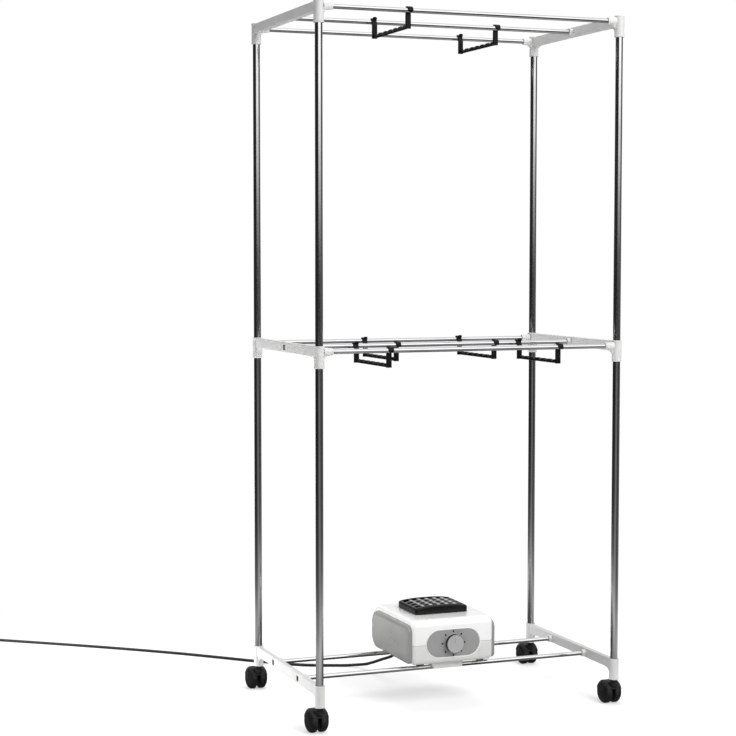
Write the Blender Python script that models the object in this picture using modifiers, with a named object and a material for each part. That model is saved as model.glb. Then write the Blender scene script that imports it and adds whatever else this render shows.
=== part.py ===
"""Portable clothes dryer: a rack of chromed tubes on casters, with a fan heater on its bottom rails.

Metres. X runs across the rack, Y from its front to its back and Z up. The origin is on the floor under
the middle of the box round the dryer, with its cord and plug left out. The rack's own middle lies a
little in front of that, because the casters trail to the back.
"""

import math

import bmesh
import bpy
from mathutils import Matrix, Vector

# Fits: what touches keeps the seat gap, and a cut runs past the face that it opens by the overrun
SEAT_GAP = 0.0003
OVERRUN = 0.002

# Rack: post spacing, and the height of the top of each tier's corner sleeves
POST_SPACING_X = 0.687
POST_SPACING_Y = 0.409
TOP_TIER = 1.500
MIDDLE_TIER = 0.802
BOTTOM_TIER = 0.102

# Post tubes
POST_RADIUS = 0.008
POST_WALL = 0.001
POST_SIDES = 16

# Cross rails: thin tubes, their axes a drop below the top of their tier
RAIL_RADIUS = 0.005
RAIL_WALL = 0.0008
RAIL_DROP = 0.012
BOTTOM_RAIL_Y = 0.082
RAIL_SIDES = 10

# Side mouldings: a beam with a sleeve at each end, and a socket or a collar for each rail
SLEEVE_RADIUS = 0.0105
SLEEVE_HEIGHT = 0.046
SLEEVE_RIM = 0.0008
SLEEVE_WEB = 0.004
SLEEVE_CAP = 0.003
BEAM_THICKNESS = 0.013
BEAM_HEIGHT = 0.022
BEAM_EDGE = 0.0015
GUSSET_LENGTH = 0.025
GUSSET_HEIGHT = 0.020
GUSSET_THICKNESS = 0.008
SOCKET_SIDES = 12
SOCKET_REACH = 0.029
SOCKET_ROOT_RADIUS = 0.0088
SOCKET_MOUTH_RADIUS = 0.0074
SOCKET_FLOOR = 0.003
SOCKET_GUSSET_LENGTH = 0.013
SOCKET_GUSSET_HEIGHT = 0.014
SOCKET_GUSSET_THICKNESS = 0.005
COLLAR_REACH = 0.0155
COLLAR_RADIUS = 0.008
COLLAR_FLOOR = 0.003
SLOT_WIDTH = 0.012
SLOT_HEIGHT = 0.012
SLOT_DEPTH = 0.002

# Garment hooks: where each one stands on its rails, and the sizes of one
TOP_HOOK_X = {"front": (-0.145,), "back": (0.150,)}
MIDDLE_HOOK_X = {"front": (-0.187, 0.205), "back": (-0.087, 0.150)}
HOOK_CLIP_WALL = 0.003
HOOK_CLIP_WRAP = 215.0
HOOK_TAB_ANGLE = 60.0
HOOK_WIDTH = 0.011
HOOK_LEG_THICKNESS = 0.006
HOOK_LEG_DROP = 0.036
HOOK_TAB_REACH = 0.0022
HOOK_TAB_RISE = 0.0030
HOOK_TAB_THICKNESS = 0.002
HOOK_BAR_WIDTH = 0.007
HOOK_BAR_HEIGHT = 0.008
HOOK_BAR_LIFT = 0.0005
HOOK_NOTCHES = 6
HOOK_NOTCH_PITCH = 0.028
HOOK_NOTCH_WIDTH = 0.012
HOOK_NOTCH_DEPTH = 0.0028

# Casters: two wheels on an axle that trails behind the stem, under a hood
CASTER_TRAIL = 0.020
WHEEL_RADIUS = 0.0245
WHEEL_WIDTH = 0.0205
WHEEL_SHOULDER = 0.0025
WHEEL_DISH_RADIUS = 0.015
WHEEL_SIDES = 18
WHEEL_SIDE_GAP = 0.0005
HOOD_CLEARANCE = 0.0010
HOOD_WALL = 0.0015
HOOD_INSET = 0.0012
HOOD_ANGLES = (28.0, 152.0)
HOOD_SIDES = 24
CASTER_WEB = 0.007
AXLE_RADIUS = 0.003
AXLE_BOSS_RADIUS = 0.0065
AXLE_FLOOR = 0.003
STEM_RADIUS = 0.004
STEM_SIDES = 12
STEM_BORE_DEPTH = 0.020
CASTER_HUB_RADIUS = 0.0078
CASTER_HUB_DROP = 0.0150

# Heater: its middle across the rack, its casing, and its height over the axes of the bottom rails
HEATER_X = -0.003
CASING_LENGTH = 0.190
CASING_FRONT_Y = -0.1155
CASING_BACK_Y = 0.1145
CASING_LIFT = 0.012
CASING_HEIGHT = 0.097
CASING_SEAM_HEIGHT = 0.043
CASING_WALL = 0.0025
CASING_END_ROUND = 0.008
CASING_CORNERS = {"front_bottom": 0.012, "back_bottom": 0.030, "back_top": 0.030, "front_top": 0.016}
FOOT_LENGTH = 0.068
FOOT_WIDTH = 0.032
FOOT_SHIFT = -0.004
FOOT_BELOW_RAIL = 0.002
FOOT_EDGE = 0.002
INTAKE_SLOTS = 5
INTAKE_SLOT_LENGTH = 0.034
INTAKE_SLOT_WIDTH = 0.004
INTAKE_SLOT_PITCH = 0.009
INTAKE_MARGIN = 0.008

# Side covers: shallow domes on the ends of the casing
COVER_INSET = 0.006
COVER_TOP_INSET = 0.0110
COVER_BOTTOM_INSET = 0.002
COVER_RISE = 0.0098
COVER_ROUND = 0.010
COVER_STRAIGHT = 0.006
COVER_WALL = 0.002

# Control panel, knob and timer switch, on one axis through the casing's front
PANEL_WIDTH = 0.124
PANEL_HEIGHT = 0.058
PANEL_LIFT = 0.044
PANEL_THICKNESS = 0.002
PANEL_RECESS = 0.0015
KNOB_RADIUS = 0.021
KNOB_DEPTH = 0.012
KNOB_EDGE = 0.0025
KNOB_DRAFT = 0.0010
KNOB_BORE_DEPTH = 0.007
KNOB_CLEARANCE = 0.0005
KNOB_SIDES = 24
TIMER_SHAFT_RADIUS = 0.003
TIMER_WIDTH = 0.040
TIMER_DEPTH = 0.020
TIMER_HEIGHT = 0.030
TIMER_EDGE = 0.001

# Outlet grille on the casing's top: an arched lattice on a solid skirt
GRILLE_LENGTH = 0.124
GRILLE_WIDTH = 0.103
GRILLE_SHIFT_X = 0.000
GRILLE_SHIFT_Y = -0.0015
GRILLE_CROWN = 0.0190
GRILLE_FALL = 0.0050
GRILLE_WALL = 0.002
GRILLE_BORDER_X = 0.0045
GRILLE_BORDER_Y = 0.0075
GRILLE_BAR = 0.0034
GRILLE_COLUMNS = 6
GRILLE_ROWS = 4
OUTLET_LENGTH = 0.100
OUTLET_WIDTH = 0.080

# Element under the outlet, in a frame that hangs from the casing's top
FRAME_MARGIN = 0.005
FRAME_WALL = 0.002
FRAME_HEIGHT = 0.030
FRAME_LEDGE = 0.006
ELEMENT_HEIGHT = 0.015
ELEMENT_SLOTS = 8
ELEMENT_SLOT_WIDTH = 0.005
ELEMENT_RIM = 0.006

# Fan: motor on the casing's floor, impeller on its shaft
MOTOR_RADIUS = 0.022
MOTOR_HEIGHT = 0.028
MOTOR_EDGE = 0.002
FAN_SHAFT_RADIUS = 0.003
FAN_SHAFT_LENGTH = 0.015
FAN_RADIUS = 0.042
FAN_HUB_RADIUS = 0.010
FAN_HUB_HEIGHT = 0.014
FAN_LIFT = 0.004
FAN_BLADES = 6
FAN_BLADE_WIDTH = 0.013
FAN_BLADE_THICKNESS = 0.0016
FAN_BLADE_TILT = 32.0

# Strain relief on the lower back corner of the casing
GLAND_ANGLE = -45.0
GLAND_X = -0.030
GLAND_FLANGE_RADIUS = 0.008
GLAND_FLANGE = 0.003
GLAND_LENGTH = 0.028
GLAND_TIP_RADIUS = 0.0046
GLAND_ROOT_RADIUS = 0.0064
GLAND_STUB_RADIUS = 0.0050
GLAND_STUB_LENGTH = 0.004
GLAND_SIDES = 16

# Power cord: the route of its free stretch, from the strain relief to the coil
CORD_DIAMETER = 0.007
CORD_POINT_SPACING = 0.0185
CORD_ROUTE = (
    (-0.0301, 0.1210, 0.0795),
    (-0.0313, 0.1385, 0.0666),
    (-0.0326, 0.1608, 0.0562),
    (-0.0352, 0.1879, 0.0468),
    (-0.0378, 0.2070, 0.0400),
    (-0.0395, 0.2296, 0.0318),
    (-0.0416, 0.2530, 0.0238),
    (-0.0450, 0.2870, 0.0131),
    (-0.0604, 0.3165, 0.0062),
    (-0.0830, 0.3310, 0.0038),
    (-0.1140, 0.3436, 0.0038),
    (-0.1472, 0.3577, 0.0038),
    (-0.1867, 0.3810, 0.0038),
    (-0.2310, 0.4190, 0.0038),
    (-0.2773, 0.4624, 0.0038),
    (-0.3444, 0.5300, 0.0038),
    (-0.4146, 0.5988, 0.0038),
    (-0.4870, 0.6635, 0.0038),
    (-0.5611, 0.7264, 0.0038),
    (-0.6400, 0.7905, 0.0038),
    (-0.7220, 0.8545, 0.0038),
    (-0.8023, 0.9165, 0.0038),
    (-0.8589, 0.9591, 0.0038),
)

# Coil of the rest of the cord: turns, layers and radius of its outer turn
COIL_TURNS = 3.25
COIL_POINTS_PER_TURN = 24
COIL_RADIUS = 0.042
COIL_PITCH = 0.0078
COIL_LAYER_RISE = 0.0076
COIL_TURN_ROUNDING = 0.25
COIL_LEAD_OUT = 0.026

# Mains plug at the end of the coil
PLUG_LENGTH = 0.045
PLUG_WIDTH = 0.026
PLUG_EDGE = 0.004
PLUG_TAIL_LENGTH = 0.015
PLUG_TAIL_ROOT_RADIUS = 0.0075
PLUG_TAIL_TIP_RADIUS = 0.0046
PLUG_PIN_LENGTH = 0.019
PLUG_PIN_RADIUS = 0.002
PLUG_PIN_SPACING = 0.019
PLUG_PIN_SIDES = 8
FLOOR_GAP = 0.0003

# Places that follow from these sizes
HALF_X = POST_SPACING_X / 2
HALF_Y = POST_SPACING_Y / 2
TIERS = {"top": TOP_TIER, "middle": MIDDLE_TIER, "bottom": BOTTOM_TIER}
RAIL_PLACES = {
    "top": {"front": -HALF_Y, "centre": 0.0, "back": HALF_Y},
    "middle": {"front": -HALF_Y, "centre": 0.0, "back": HALF_Y},
    "bottom": {"front": -BOTTOM_RAIL_Y, "back": BOTTOM_RAIL_Y},
}
SIDES = {"left": -HALF_X, "right": HALF_X}
ENDS = {"front": -HALF_Y, "back": HALF_Y}
CASTER_BACK_REACH = CASTER_TRAIL + WHEEL_RADIUS
DEPTH_SHIFT = (SLEEVE_RADIUS - CASTER_BACK_REACH) / 2
HOOK_PITCH = HALF_Y
HOOK_BORE = RAIL_RADIUS + SEAT_GAP
WHEEL_INNER_X = CASTER_WEB / 2 + WHEEL_SIDE_GAP
WHEEL_OUTER_X = WHEEL_INNER_X + WHEEL_WIDTH
AXLE_HEIGHT = WHEEL_RADIUS * math.cos(math.pi / WHEEL_SIDES)
AXLE_REACH = WHEEL_OUTER_X - AXLE_FLOOR
HOOD_BORE = WHEEL_RADIUS + HOOD_CLEARANCE
HOOD_RADIUS = HOOD_BORE + HOOD_WALL
SLEEVE_BOTTOM = BOTTOM_TIER - SLEEVE_HEIGHT
BOTTOM_RAIL_Z = BOTTOM_TIER - RAIL_DROP
CASING_BOTTOM = BOTTOM_RAIL_Z + CASING_LIFT
CASING_TOP = CASING_BOTTOM + CASING_HEIGHT
CASING_SEAM = CASING_BOTTOM + CASING_SEAM_HEIGHT
CASING_FLOOR = CASING_BOTTOM + CASING_WALL
PANEL_Z = CASING_BOTTOM + PANEL_LIFT
PANEL_BACK_Y = CASING_FRONT_Y + PANEL_RECESS - SEAT_GAP
PANEL_FRONT_Y = PANEL_BACK_Y - PANEL_THICKNESS
KNOB_BACK_Y = PANEL_FRONT_Y - KNOB_CLEARANCE
TIMER_FRONT_Y = CASING_FRONT_Y + CASING_WALL + SEAT_GAP
GRILLE_X = HEATER_X + GRILLE_SHIFT_X
FRAME_TOP = CASING_TOP - CASING_WALL - SEAT_GAP
FRAME_LENGTH = OUTLET_LENGTH + 2 * FRAME_MARGIN
FRAME_WIDTH = OUTLET_WIDTH + 2 * FRAME_MARGIN
MOTOR_TOP = CASING_FLOOR + SEAT_GAP + MOTOR_HEIGHT
CORD_RADIUS = CORD_DIAMETER / 2
PLUG_AXIS_Z = CORD_ROUTE[-1][2] + COIL_LAYER_RISE
# Turns that set a shape's own Z along X, and its own X and Y along Y and Z; or its Z along -Y
ALONG_X = Matrix.Rotation(math.pi / 2, 4, "Z") @ Matrix.Rotation(math.pi / 2, 4, "X")
ALONG_MINUS_X = Matrix.Rotation(-math.pi / 2, 4, "Z") @ Matrix.Rotation(math.pi / 2, 4, "X")
TO_FRONT = Matrix.Rotation(math.pi / 2, 4, "X")


def new_collection(name):
    group = bpy.data.collections.new(name)
    bpy.context.scene.collection.children.link(group)
    return group


for leftover in list(bpy.data.objects):
    bpy.data.objects.remove(leftover)
PARTS = new_collection("portable_clothes_dryer")
CUTTERS = new_collection("cutters")
RACK = bpy.data.objects.new("rack_middle", None)
RACK.location.y = DEPTH_SHIFT
PARTS.objects.link(RACK)


def finish(name, colour, roughness, metallic=0.0):
    """A Principled material."""
    made = bpy.data.materials.new(name)
    made.use_nodes = True
    shader = made.node_tree.nodes["Principled BSDF"]
    shader.inputs["Base Color"].default_value = (*colour, 1.0)
    shader.inputs["Roughness"].default_value = roughness
    shader.inputs["Metallic"].default_value = metallic
    return made


CHROME = finish("chromed_tube", (0.62, 0.62, 0.63), 0.14, 1.0)
STEEL = finish("plain_steel", (0.50, 0.50, 0.51), 0.35, 1.0)
WHITE_MOULDING = finish("white_moulding", (0.78, 0.78, 0.77), 0.45)
WHITE_CASING = finish("white_casing", (0.86, 0.86, 0.85), 0.22)
GREY_COVER = finish("grey_cover", (0.36, 0.36, 0.35), 0.38)
GREY_PANEL = finish("grey_panel", (0.33, 0.33, 0.33), 0.42)
GREY_KNOB = finish("grey_knob", (0.42, 0.42, 0.42), 0.36)
BLACK_HOOK = finish("black_hook", (0.012, 0.012, 0.013), 0.42)
BLACK_CASTER = finish("black_caster", (0.014, 0.014, 0.015), 0.40)
BLACK_WHEEL = finish("black_wheel", (0.018, 0.018, 0.018), 0.50)
BLACK_GRILLE = finish("black_grille", (0.010, 0.010, 0.011), 0.38)
BLACK_CORD = finish("black_cord", (0.008, 0.008, 0.008), 0.55)
DARK_FRAME = finish("dark_frame", (0.06, 0.06, 0.06), 0.60)
ALLOY_FIN = finish("alloy_fin", (0.60, 0.60, 0.61), 0.40, 1.0)
WHITE_FAN = finish("white_fan", (0.70, 0.70, 0.69), 0.50)
CREAM_SWITCH = finish("cream_switch", (0.66, 0.62, 0.52), 0.50)


def part(name, mesh, material, at=(0.0, 0.0, 0.0), turn=None, sharp=35.0):
    """Put a finished mesh into the model as a named piece of the rack."""
    made = bpy.data.objects.new(name, mesh)
    made.parent = RACK
    made.location = at
    if turn is not None:
        made.rotation_euler = turn.to_euler()
    if not mesh.materials:
        mesh.materials.append(material)
        mesh.shade_smooth()
        mesh.set_sharp_from_angle(angle=math.radians(sharp))
    PARTS.objects.link(made)
    return made


def result_of(worker):
    """The mesh that an object's modifiers or curve settings give; the object itself is removed."""
    bpy.context.view_layer.update()
    seen = worker.evaluated_get(bpy.context.evaluated_depsgraph_get())
    made = bpy.data.meshes.new_from_object(seen)
    bpy.data.objects.remove(worker)
    return made


def cutter(mesh):
    """An object that only shapes another one."""
    made = bpy.data.objects.new("cutter", mesh)
    made.hide_render = True
    made.display_type = "WIRE"
    CUTTERS.objects.link(made)
    return made


def combined(mesh, tools, operation, solver):
    """A mesh joined with others, or with others cut out of it."""
    base = cutter(mesh)
    workers = [cutter(tool) for tool in tools]
    for worker in workers:
        step = base.modifiers.new(operation.lower(), "BOOLEAN")
        step.operation = operation
        step.solver = solver
        step.object = worker
    made = result_of(base)
    for worker in workers:
        bpy.data.objects.remove(worker)
    return made


def shaped(mesh, joins=(), cuts=(), solver="EXACT"):
    """A mesh with other meshes joined to it, and then more cut out of it."""
    return combined(combined(mesh, joins, "UNION", solver), cuts, "DIFFERENCE", solver)


def from_bmesh(shape, move=None):
    made = bpy.data.meshes.new("shape")
    shape.to_mesh(made)
    shape.free()
    if move is not None:
        made.transform(move)
    return made


def moved(mesh, move):
    mesh.transform(move)
    return mesh


def block(low, high, edge=0.0):
    """A box between two corners, its edges cut to a narrow bevel."""
    shape = bmesh.new()
    bmesh.ops.create_cube(shape, size=1.0)
    low = Vector(low)
    size = Vector(high) - low
    for vert in shape.verts:
        vert.co = [low[i] + (vert.co[i] + 0.5) * size[i] for i in range(3)]
    if edge:
        bmesh.ops.bevel(shape, geom=shape.edges[:], offset=edge, segments=1, affect="EDGES")
    return from_bmesh(shape)


def bar(start, end, radius, sides, end_radius=None):
    """A round bar, or a cone, from one point to another."""
    start = Vector(start)
    run = Vector(end) - start
    shape = bmesh.new()
    bmesh.ops.create_cone(
        shape,
        cap_ends=True,
        segments=sides,
        radius1=radius,
        radius2=radius if end_radius is None else end_radius,
        depth=run.length,
    )
    turn = run.to_track_quat("Z", "Y").to_matrix().to_4x4()
    return from_bmesh(shape, Matrix.Translation(start + run / 2) @ turn)


def turned(profile, sides, closed=False):
    """A profile of (radius, height), down its outer side, turned about Z."""
    shape = bmesh.new()
    verts = [shape.verts.new((radius, 0.0, height)) for radius, height in profile]
    for above, below in zip(verts, verts[1:]):
        shape.edges.new((above, below))
    if closed:
        shape.edges.new((verts[-1], verts[0]))
    worker = bpy.data.objects.new("profile", from_bmesh(shape))
    PARTS.objects.link(worker)
    screw = worker.modifiers.new("screw", "SCREW")
    screw.steps = sides
    screw.render_steps = sides
    screw.use_merge_vertices = True
    screw.merge_threshold = SEAT_GAP / 100
    return result_of(worker)


def tube(radius, wall, low, high, sides):
    """An open tube along Z."""
    return turned(
        [(radius, high), (radius, low), (radius - wall, low), (radius - wall, high)], sides, closed=True
    )


def plate(points, low, high, move, edge=0.0, rounding=1):
    """A flat outline filled and given thickness from low to high along its own Z, then moved into place.

    With an edge, its rims are rounded inside the outline.
    """
    curve = bpy.data.curves.new("outline", "CURVE")
    curve.dimensions = "2D"
    curve.fill_mode = "BOTH"
    curve.extrude = (high - low) / 2 - edge
    curve.bevel_depth = edge
    curve.bevel_resolution = rounding
    curve.offset = -edge
    spline = curve.splines.new("POLY")
    spline.points.add(len(points) - 1)
    for point, (across, up) in zip(spline.points, points):
        point.co = (across, up, 0.0, 1.0)
    spline.use_cyclic_u = True
    worker = bpy.data.objects.new("outline", curve)
    PARTS.objects.link(worker)
    made = bmesh.new()
    made.from_mesh(result_of(worker))
    bmesh.ops.remove_doubles(made, verts=made.verts[:], dist=SEAT_GAP / 100)
    bmesh.ops.recalc_face_normals(made, faces=made.faces[:])
    return from_bmesh(made, move @ Matrix.Translation((0.0, 0.0, (low + high) / 2)))


def arc(centre, radius, start, end, steps):
    """Points on an arc, from one angle to another in degrees."""
    angles = [math.radians(start + (end - start) * i / steps) for i in range(steps + 1)]
    return [(centre[0] + radius * math.cos(a), centre[1] + radius * math.sin(a)) for a in angles]


def rounded_outline(low, high, corners, steps):
    """A rectangle with its own radius at each corner, from the front bottom corner on."""
    (y0, z0), (y1, z1) = low, high
    places = (
        (corners["front_bottom"], 1, 1, y0, z0, 180.0),
        (corners["back_bottom"], -1, 1, y1, z0, 270.0),
        (corners["back_top"], -1, -1, y1, z1, 0.0),
        (corners["front_top"], 1, -1, y0, z1, 90.0),
    )
    points = []
    for radius, inward_y, inward_z, y, z, start in places:
        centre = (y + inward_y * radius, z + inward_z * radius)
        points += arc(centre, radius, start, start + 90.0, steps)
    return points


def gusset(inner, reach, root_z, tip_z, thickness, overlap, move):
    """A web in the corner under a beam, its free edge a hollow quarter curve."""
    length = reach - inner
    height = root_z - tip_z
    curve = [
        (inner + length * (1 - math.sin(t)), root_z - height * (1 - math.cos(t)))
        for t in [math.pi / 2 * i / 3 for i in range(4)]
    ]
    outline = [(inner - overlap, root_z + overlap), (reach, root_z + overlap)] + curve
    outline.append((inner - overlap, tip_z))
    return plate(outline, -thickness / 2, thickness / 2, move)


def side_beam(tier):
    """A side moulding, its own origin at the middle of its top, with the rack's inside towards +X."""
    places = RAIL_PLACES[tier].values()
    middle_z = -RAIL_DROP
    body = block(
        (-BEAM_THICKNESS / 2, -HALF_Y, middle_z - BEAM_HEIGHT / 2),
        (BEAM_THICKNESS / 2, HALF_Y, middle_z + BEAM_HEIGHT / 2),
        BEAM_EDGE,
    )
    joins = []
    cuts = []
    post_bore = POST_RADIUS + SEAT_GAP
    rail_bore = RAIL_RADIUS + SEAT_GAP
    if tier == "top":
        bores = [(-SLEEVE_HEIGHT - OVERRUN, -SLEEVE_CAP, post_bore)]
    elif tier == "middle":
        depth = (SLEEVE_HEIGHT - SLEEVE_WEB) / 2
        bores = [
            (-depth, OVERRUN, post_bore),
            (-SLEEVE_HEIGHT - OVERRUN, -SLEEVE_HEIGHT + depth, post_bore),
        ]
    else:
        stem_end = -SLEEVE_HEIGHT + STEM_BORE_DEPTH
        bores = [
            (stem_end + SLEEVE_WEB, OVERRUN, post_bore),
            (-SLEEVE_HEIGHT - OVERRUN, stem_end, STEM_RADIUS + SEAT_GAP),
        ]
    underside = middle_z - BEAM_HEIGHT / 2
    for y in ENDS.values():
        to_end = Matrix.Translation((0.0, y, 0.0))
        sleeve = turned(
            [
                (0.0, 0.0),
                (SLEEVE_RADIUS - SLEEVE_RIM, 0.0),
                (SLEEVE_RADIUS, -SLEEVE_RIM),
                (SLEEVE_RADIUS, -SLEEVE_HEIGHT),
                (0.0, -SLEEVE_HEIGHT),
            ],
            POST_SIDES,
        )
        joins.append(moved(sleeve, to_end))
        along_beam = to_end @ Matrix.Rotation(math.copysign(math.pi / 2, -y), 4, "Z") @ TO_FRONT
        joins.append(
            gusset(
                SLEEVE_RADIUS,
                SLEEVE_RADIUS + GUSSET_LENGTH,
                underside,
                underside - GUSSET_HEIGHT,
                GUSSET_THICKNESS,
                SLEEVE_RIM,
                along_beam,
            )
        )
        for low, high, radius in bores:
            cuts.append(bar((0.0, y, low), (0.0, y, high), radius, POST_SIDES))
    for y in places:
        if abs(y) == HALF_Y:
            reach = SOCKET_REACH
            joins.append(
                bar(
                    (0.0, y, middle_z),
                    (reach, y, middle_z),
                    SOCKET_ROOT_RADIUS,
                    SOCKET_SIDES,
                    SOCKET_MOUTH_RADIUS,
                )
            )
            joins.append(
                gusset(
                    SLEEVE_RADIUS,
                    SLEEVE_RADIUS + SOCKET_GUSSET_LENGTH,
                    middle_z - SOCKET_MOUTH_RADIUS,
                    middle_z - SOCKET_MOUTH_RADIUS - SOCKET_GUSSET_HEIGHT,
                    SOCKET_GUSSET_THICKNESS,
                    SLEEVE_RIM,
                    Matrix.Translation((0.0, y, 0.0)) @ TO_FRONT,
                )
            )
            floor = post_bore + SOCKET_FLOOR
        else:
            reach = COLLAR_REACH
            joins.append(bar((0.0, y, middle_z), (reach, y, middle_z), COLLAR_RADIUS, SOCKET_SIDES))
            floor = COLLAR_FLOOR
            if tier != "top":
                low = (-BEAM_THICKNESS / 2 - OVERRUN, y - SLOT_WIDTH / 2, middle_z - SLOT_HEIGHT / 2)
                high = (SLOT_DEPTH - BEAM_THICKNESS / 2, y + SLOT_WIDTH / 2, middle_z + SLOT_HEIGHT / 2)
                cuts.append(block(low, high))
        cuts.append(bar((floor, y, middle_z), (reach + OVERRUN, y, middle_z), rail_bore, RAIL_SIDES))
    return shaped(body, joins, cuts, "MANIFOLD")


def build_side_beams():
    """A left moulding for each tier, turned half round for the right."""
    for tier, top in TIERS.items():
        mesh = side_beam(tier)
        for side, x in SIDES.items():
            turn = Matrix.Rotation(math.pi if x > 0 else 0.0, 4, "Z")
            part(f"side_beam_{tier}_{side}", mesh, WHITE_MOULDING, (x, 0.0, top), turn)


def build_posts():
    """Lower and upper tubes, each from the floor of one sleeve's bore to the end of the next one's."""
    half_bore = (SLEEVE_HEIGHT - SLEEVE_WEB) / 2
    spans = {
        "lower": (
            SLEEVE_BOTTOM + STEM_BORE_DEPTH + SLEEVE_WEB + SEAT_GAP,
            MIDDLE_TIER - SLEEVE_HEIGHT + half_bore - SEAT_GAP,
        ),
        "upper": (MIDDLE_TIER - half_bore + SEAT_GAP, TOP_TIER - SLEEVE_CAP - SEAT_GAP),
    }
    for level, (low, high) in spans.items():
        mesh = tube(POST_RADIUS, POST_WALL, 0.0, high - low, POST_SIDES)
        for end, y in ENDS.items():
            for side, x in SIDES.items():
                part(f"post_{level}_{end}_{side}", mesh, CHROME, (x, y, low))


def build_rails():
    """Cross rails, each held at both ends in a corner socket or a beam's collar."""
    for tier, places in RAIL_PLACES.items():
        for place, y in places.items():
            corner = abs(y) == HALF_Y
            floor = POST_RADIUS + SEAT_GAP + SOCKET_FLOOR if corner else COLLAR_FLOOR
            reach = HALF_X - floor - SEAT_GAP
            mesh = tube(RAIL_RADIUS, RAIL_WALL, -reach, reach, RAIL_SIDES)
            part(f"rail_{tier}_{place}", mesh, CHROME, (0.0, y, TIERS[tier] - RAIL_DROP), ALONG_X)


def hook_end():
    """Outline of a hook's clip over a rail, its thumb tab and its leg, round the rail's axis."""
    outer = HOOK_BORE + HOOK_CLIP_WALL
    leg = HOOK_BORE + HOOK_LEG_THICKNESS
    points = arc((0.0, 0.0), HOOK_BORE, 0.0, HOOK_CLIP_WRAP, 6)
    points += arc((0.0, 0.0), outer, HOOK_CLIP_WRAP, HOOK_TAB_ANGLE, 4)
    points += [
        (leg + HOOK_TAB_REACH - HOOK_TAB_THICKNESS, outer + HOOK_TAB_RISE),
        (leg + HOOK_TAB_REACH, outer + HOOK_TAB_RISE - HOOK_TAB_THICKNESS),
        (leg, HOOK_CLIP_WALL),
        (leg, -HOOK_LEG_DROP),
        (HOOK_BORE, -HOOK_LEG_DROP),
    ]
    return points


def hook_bar():
    """Outline of a hook's bar, with notches along its top that keep the hangers apart."""
    start = HOOK_BORE + HOOK_LEG_THICKNESS / 2
    bottom = HOOK_BAR_LIFT - HOOK_LEG_DROP
    top = bottom + HOOK_BAR_HEIGHT
    points = [(HOOK_PITCH - start, top), (HOOK_PITCH - start, bottom), (start, bottom), (start, top)]
    for i in range(HOOK_NOTCHES):
        middle = HOOK_PITCH / 2 + (i - (HOOK_NOTCHES - 1) / 2) * HOOK_NOTCH_PITCH
        points += [
            (middle - HOOK_NOTCH_WIDTH / 2, top),
            (middle, top - HOOK_NOTCH_DEPTH),
            (middle + HOOK_NOTCH_WIDTH / 2, top),
        ]
    return points


def build_hooks():
    """Hooks that span two neighbouring rails, each with its origin on the front one of the two."""
    near = hook_end()
    far = [(HOOK_PITCH - y, z) for y, z in near]
    half = HOOK_WIDTH / 2
    mesh = shaped(
        plate(near, -half, half, ALONG_X),
        [
            plate(far, -half, half, ALONG_X),
            plate(hook_bar(), -HOOK_BAR_WIDTH / 2, HOOK_BAR_WIDTH / 2, ALONG_X),
        ],
    )
    for tier, bays in (("top", TOP_HOOK_X), ("middle", MIDDLE_HOOK_X)):
        z = TIERS[tier] - RAIL_DROP
        stands = sorted((x, bay) for bay, places in bays.items() for x in places)
        for number, (x, bay) in enumerate(stands, 1):
            y = -HOOK_PITCH if bay == "front" else 0.0
            part(f"hook_{tier}_{number}", mesh, BLACK_HOOK, (x, y, z))


def caster_body():
    """Stem, hub, hood and web of a caster, round the stem's axis, with the axle behind it."""
    axle = (CASTER_TRAIL, AXLE_HEIGHT)
    outline = arc(axle, HOOD_RADIUS, *HOOD_ANGLES, 9) + arc(axle, AXLE_BOSS_RADIUS, 180.0, 360.0, 6)
    half = WHEEL_OUTER_X - HOOD_INSET
    hub_top = SLEEVE_BOTTOM - SEAT_GAP
    stem_top = SLEEVE_BOTTOM + STEM_BORE_DEPTH - SEAT_GAP
    stem = turned(
        [
            (0.0, stem_top),
            (STEM_RADIUS, stem_top),
            (STEM_RADIUS, hub_top),
            (CASTER_HUB_RADIUS, hub_top),
            (CASTER_HUB_RADIUS, hub_top - CASTER_HUB_DROP),
            (0.0, hub_top - CASTER_HUB_DROP),
        ],
        STEM_SIDES,
    )
    web = CASTER_WEB / 2
    past = WHEEL_OUTER_X + OVERRUN
    cuts = [
        bar((start, *axle), (end, *axle), HOOD_BORE, HOOD_SIDES)
        for start, end in ((-web, -past), (web, past))
    ]
    bore = AXLE_RADIUS + SEAT_GAP
    cuts.append(bar((-CASTER_WEB, *axle), (CASTER_WEB, *axle), bore, RAIL_SIDES))
    return shaped(plate(outline, -half, half, ALONG_X), [stem], cuts)


def wheel():
    """A caster wheel about its own Z, which points to its outer face. Its bore is blind."""
    rim = WHEEL_RADIUS - WHEEL_SHOULDER
    bore = AXLE_RADIUS + SEAT_GAP
    inner = WHEEL_INNER_X
    outer = WHEEL_OUTER_X
    bore_end = AXLE_REACH + SEAT_GAP
    return turned(
        [
            (0.0, outer - WHEEL_SHOULDER / 2),
            (WHEEL_DISH_RADIUS, outer),
            (rim, outer - WHEEL_SHOULDER),
            (WHEEL_RADIUS, outer - 3 * WHEEL_SHOULDER),
            (WHEEL_RADIUS, inner + WHEEL_SHOULDER),
            (rim, inner),
            (bore, inner),
            (bore, bore_end),
            (0.0, bore_end),
        ],
        WHEEL_SIDES,
    )


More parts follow.
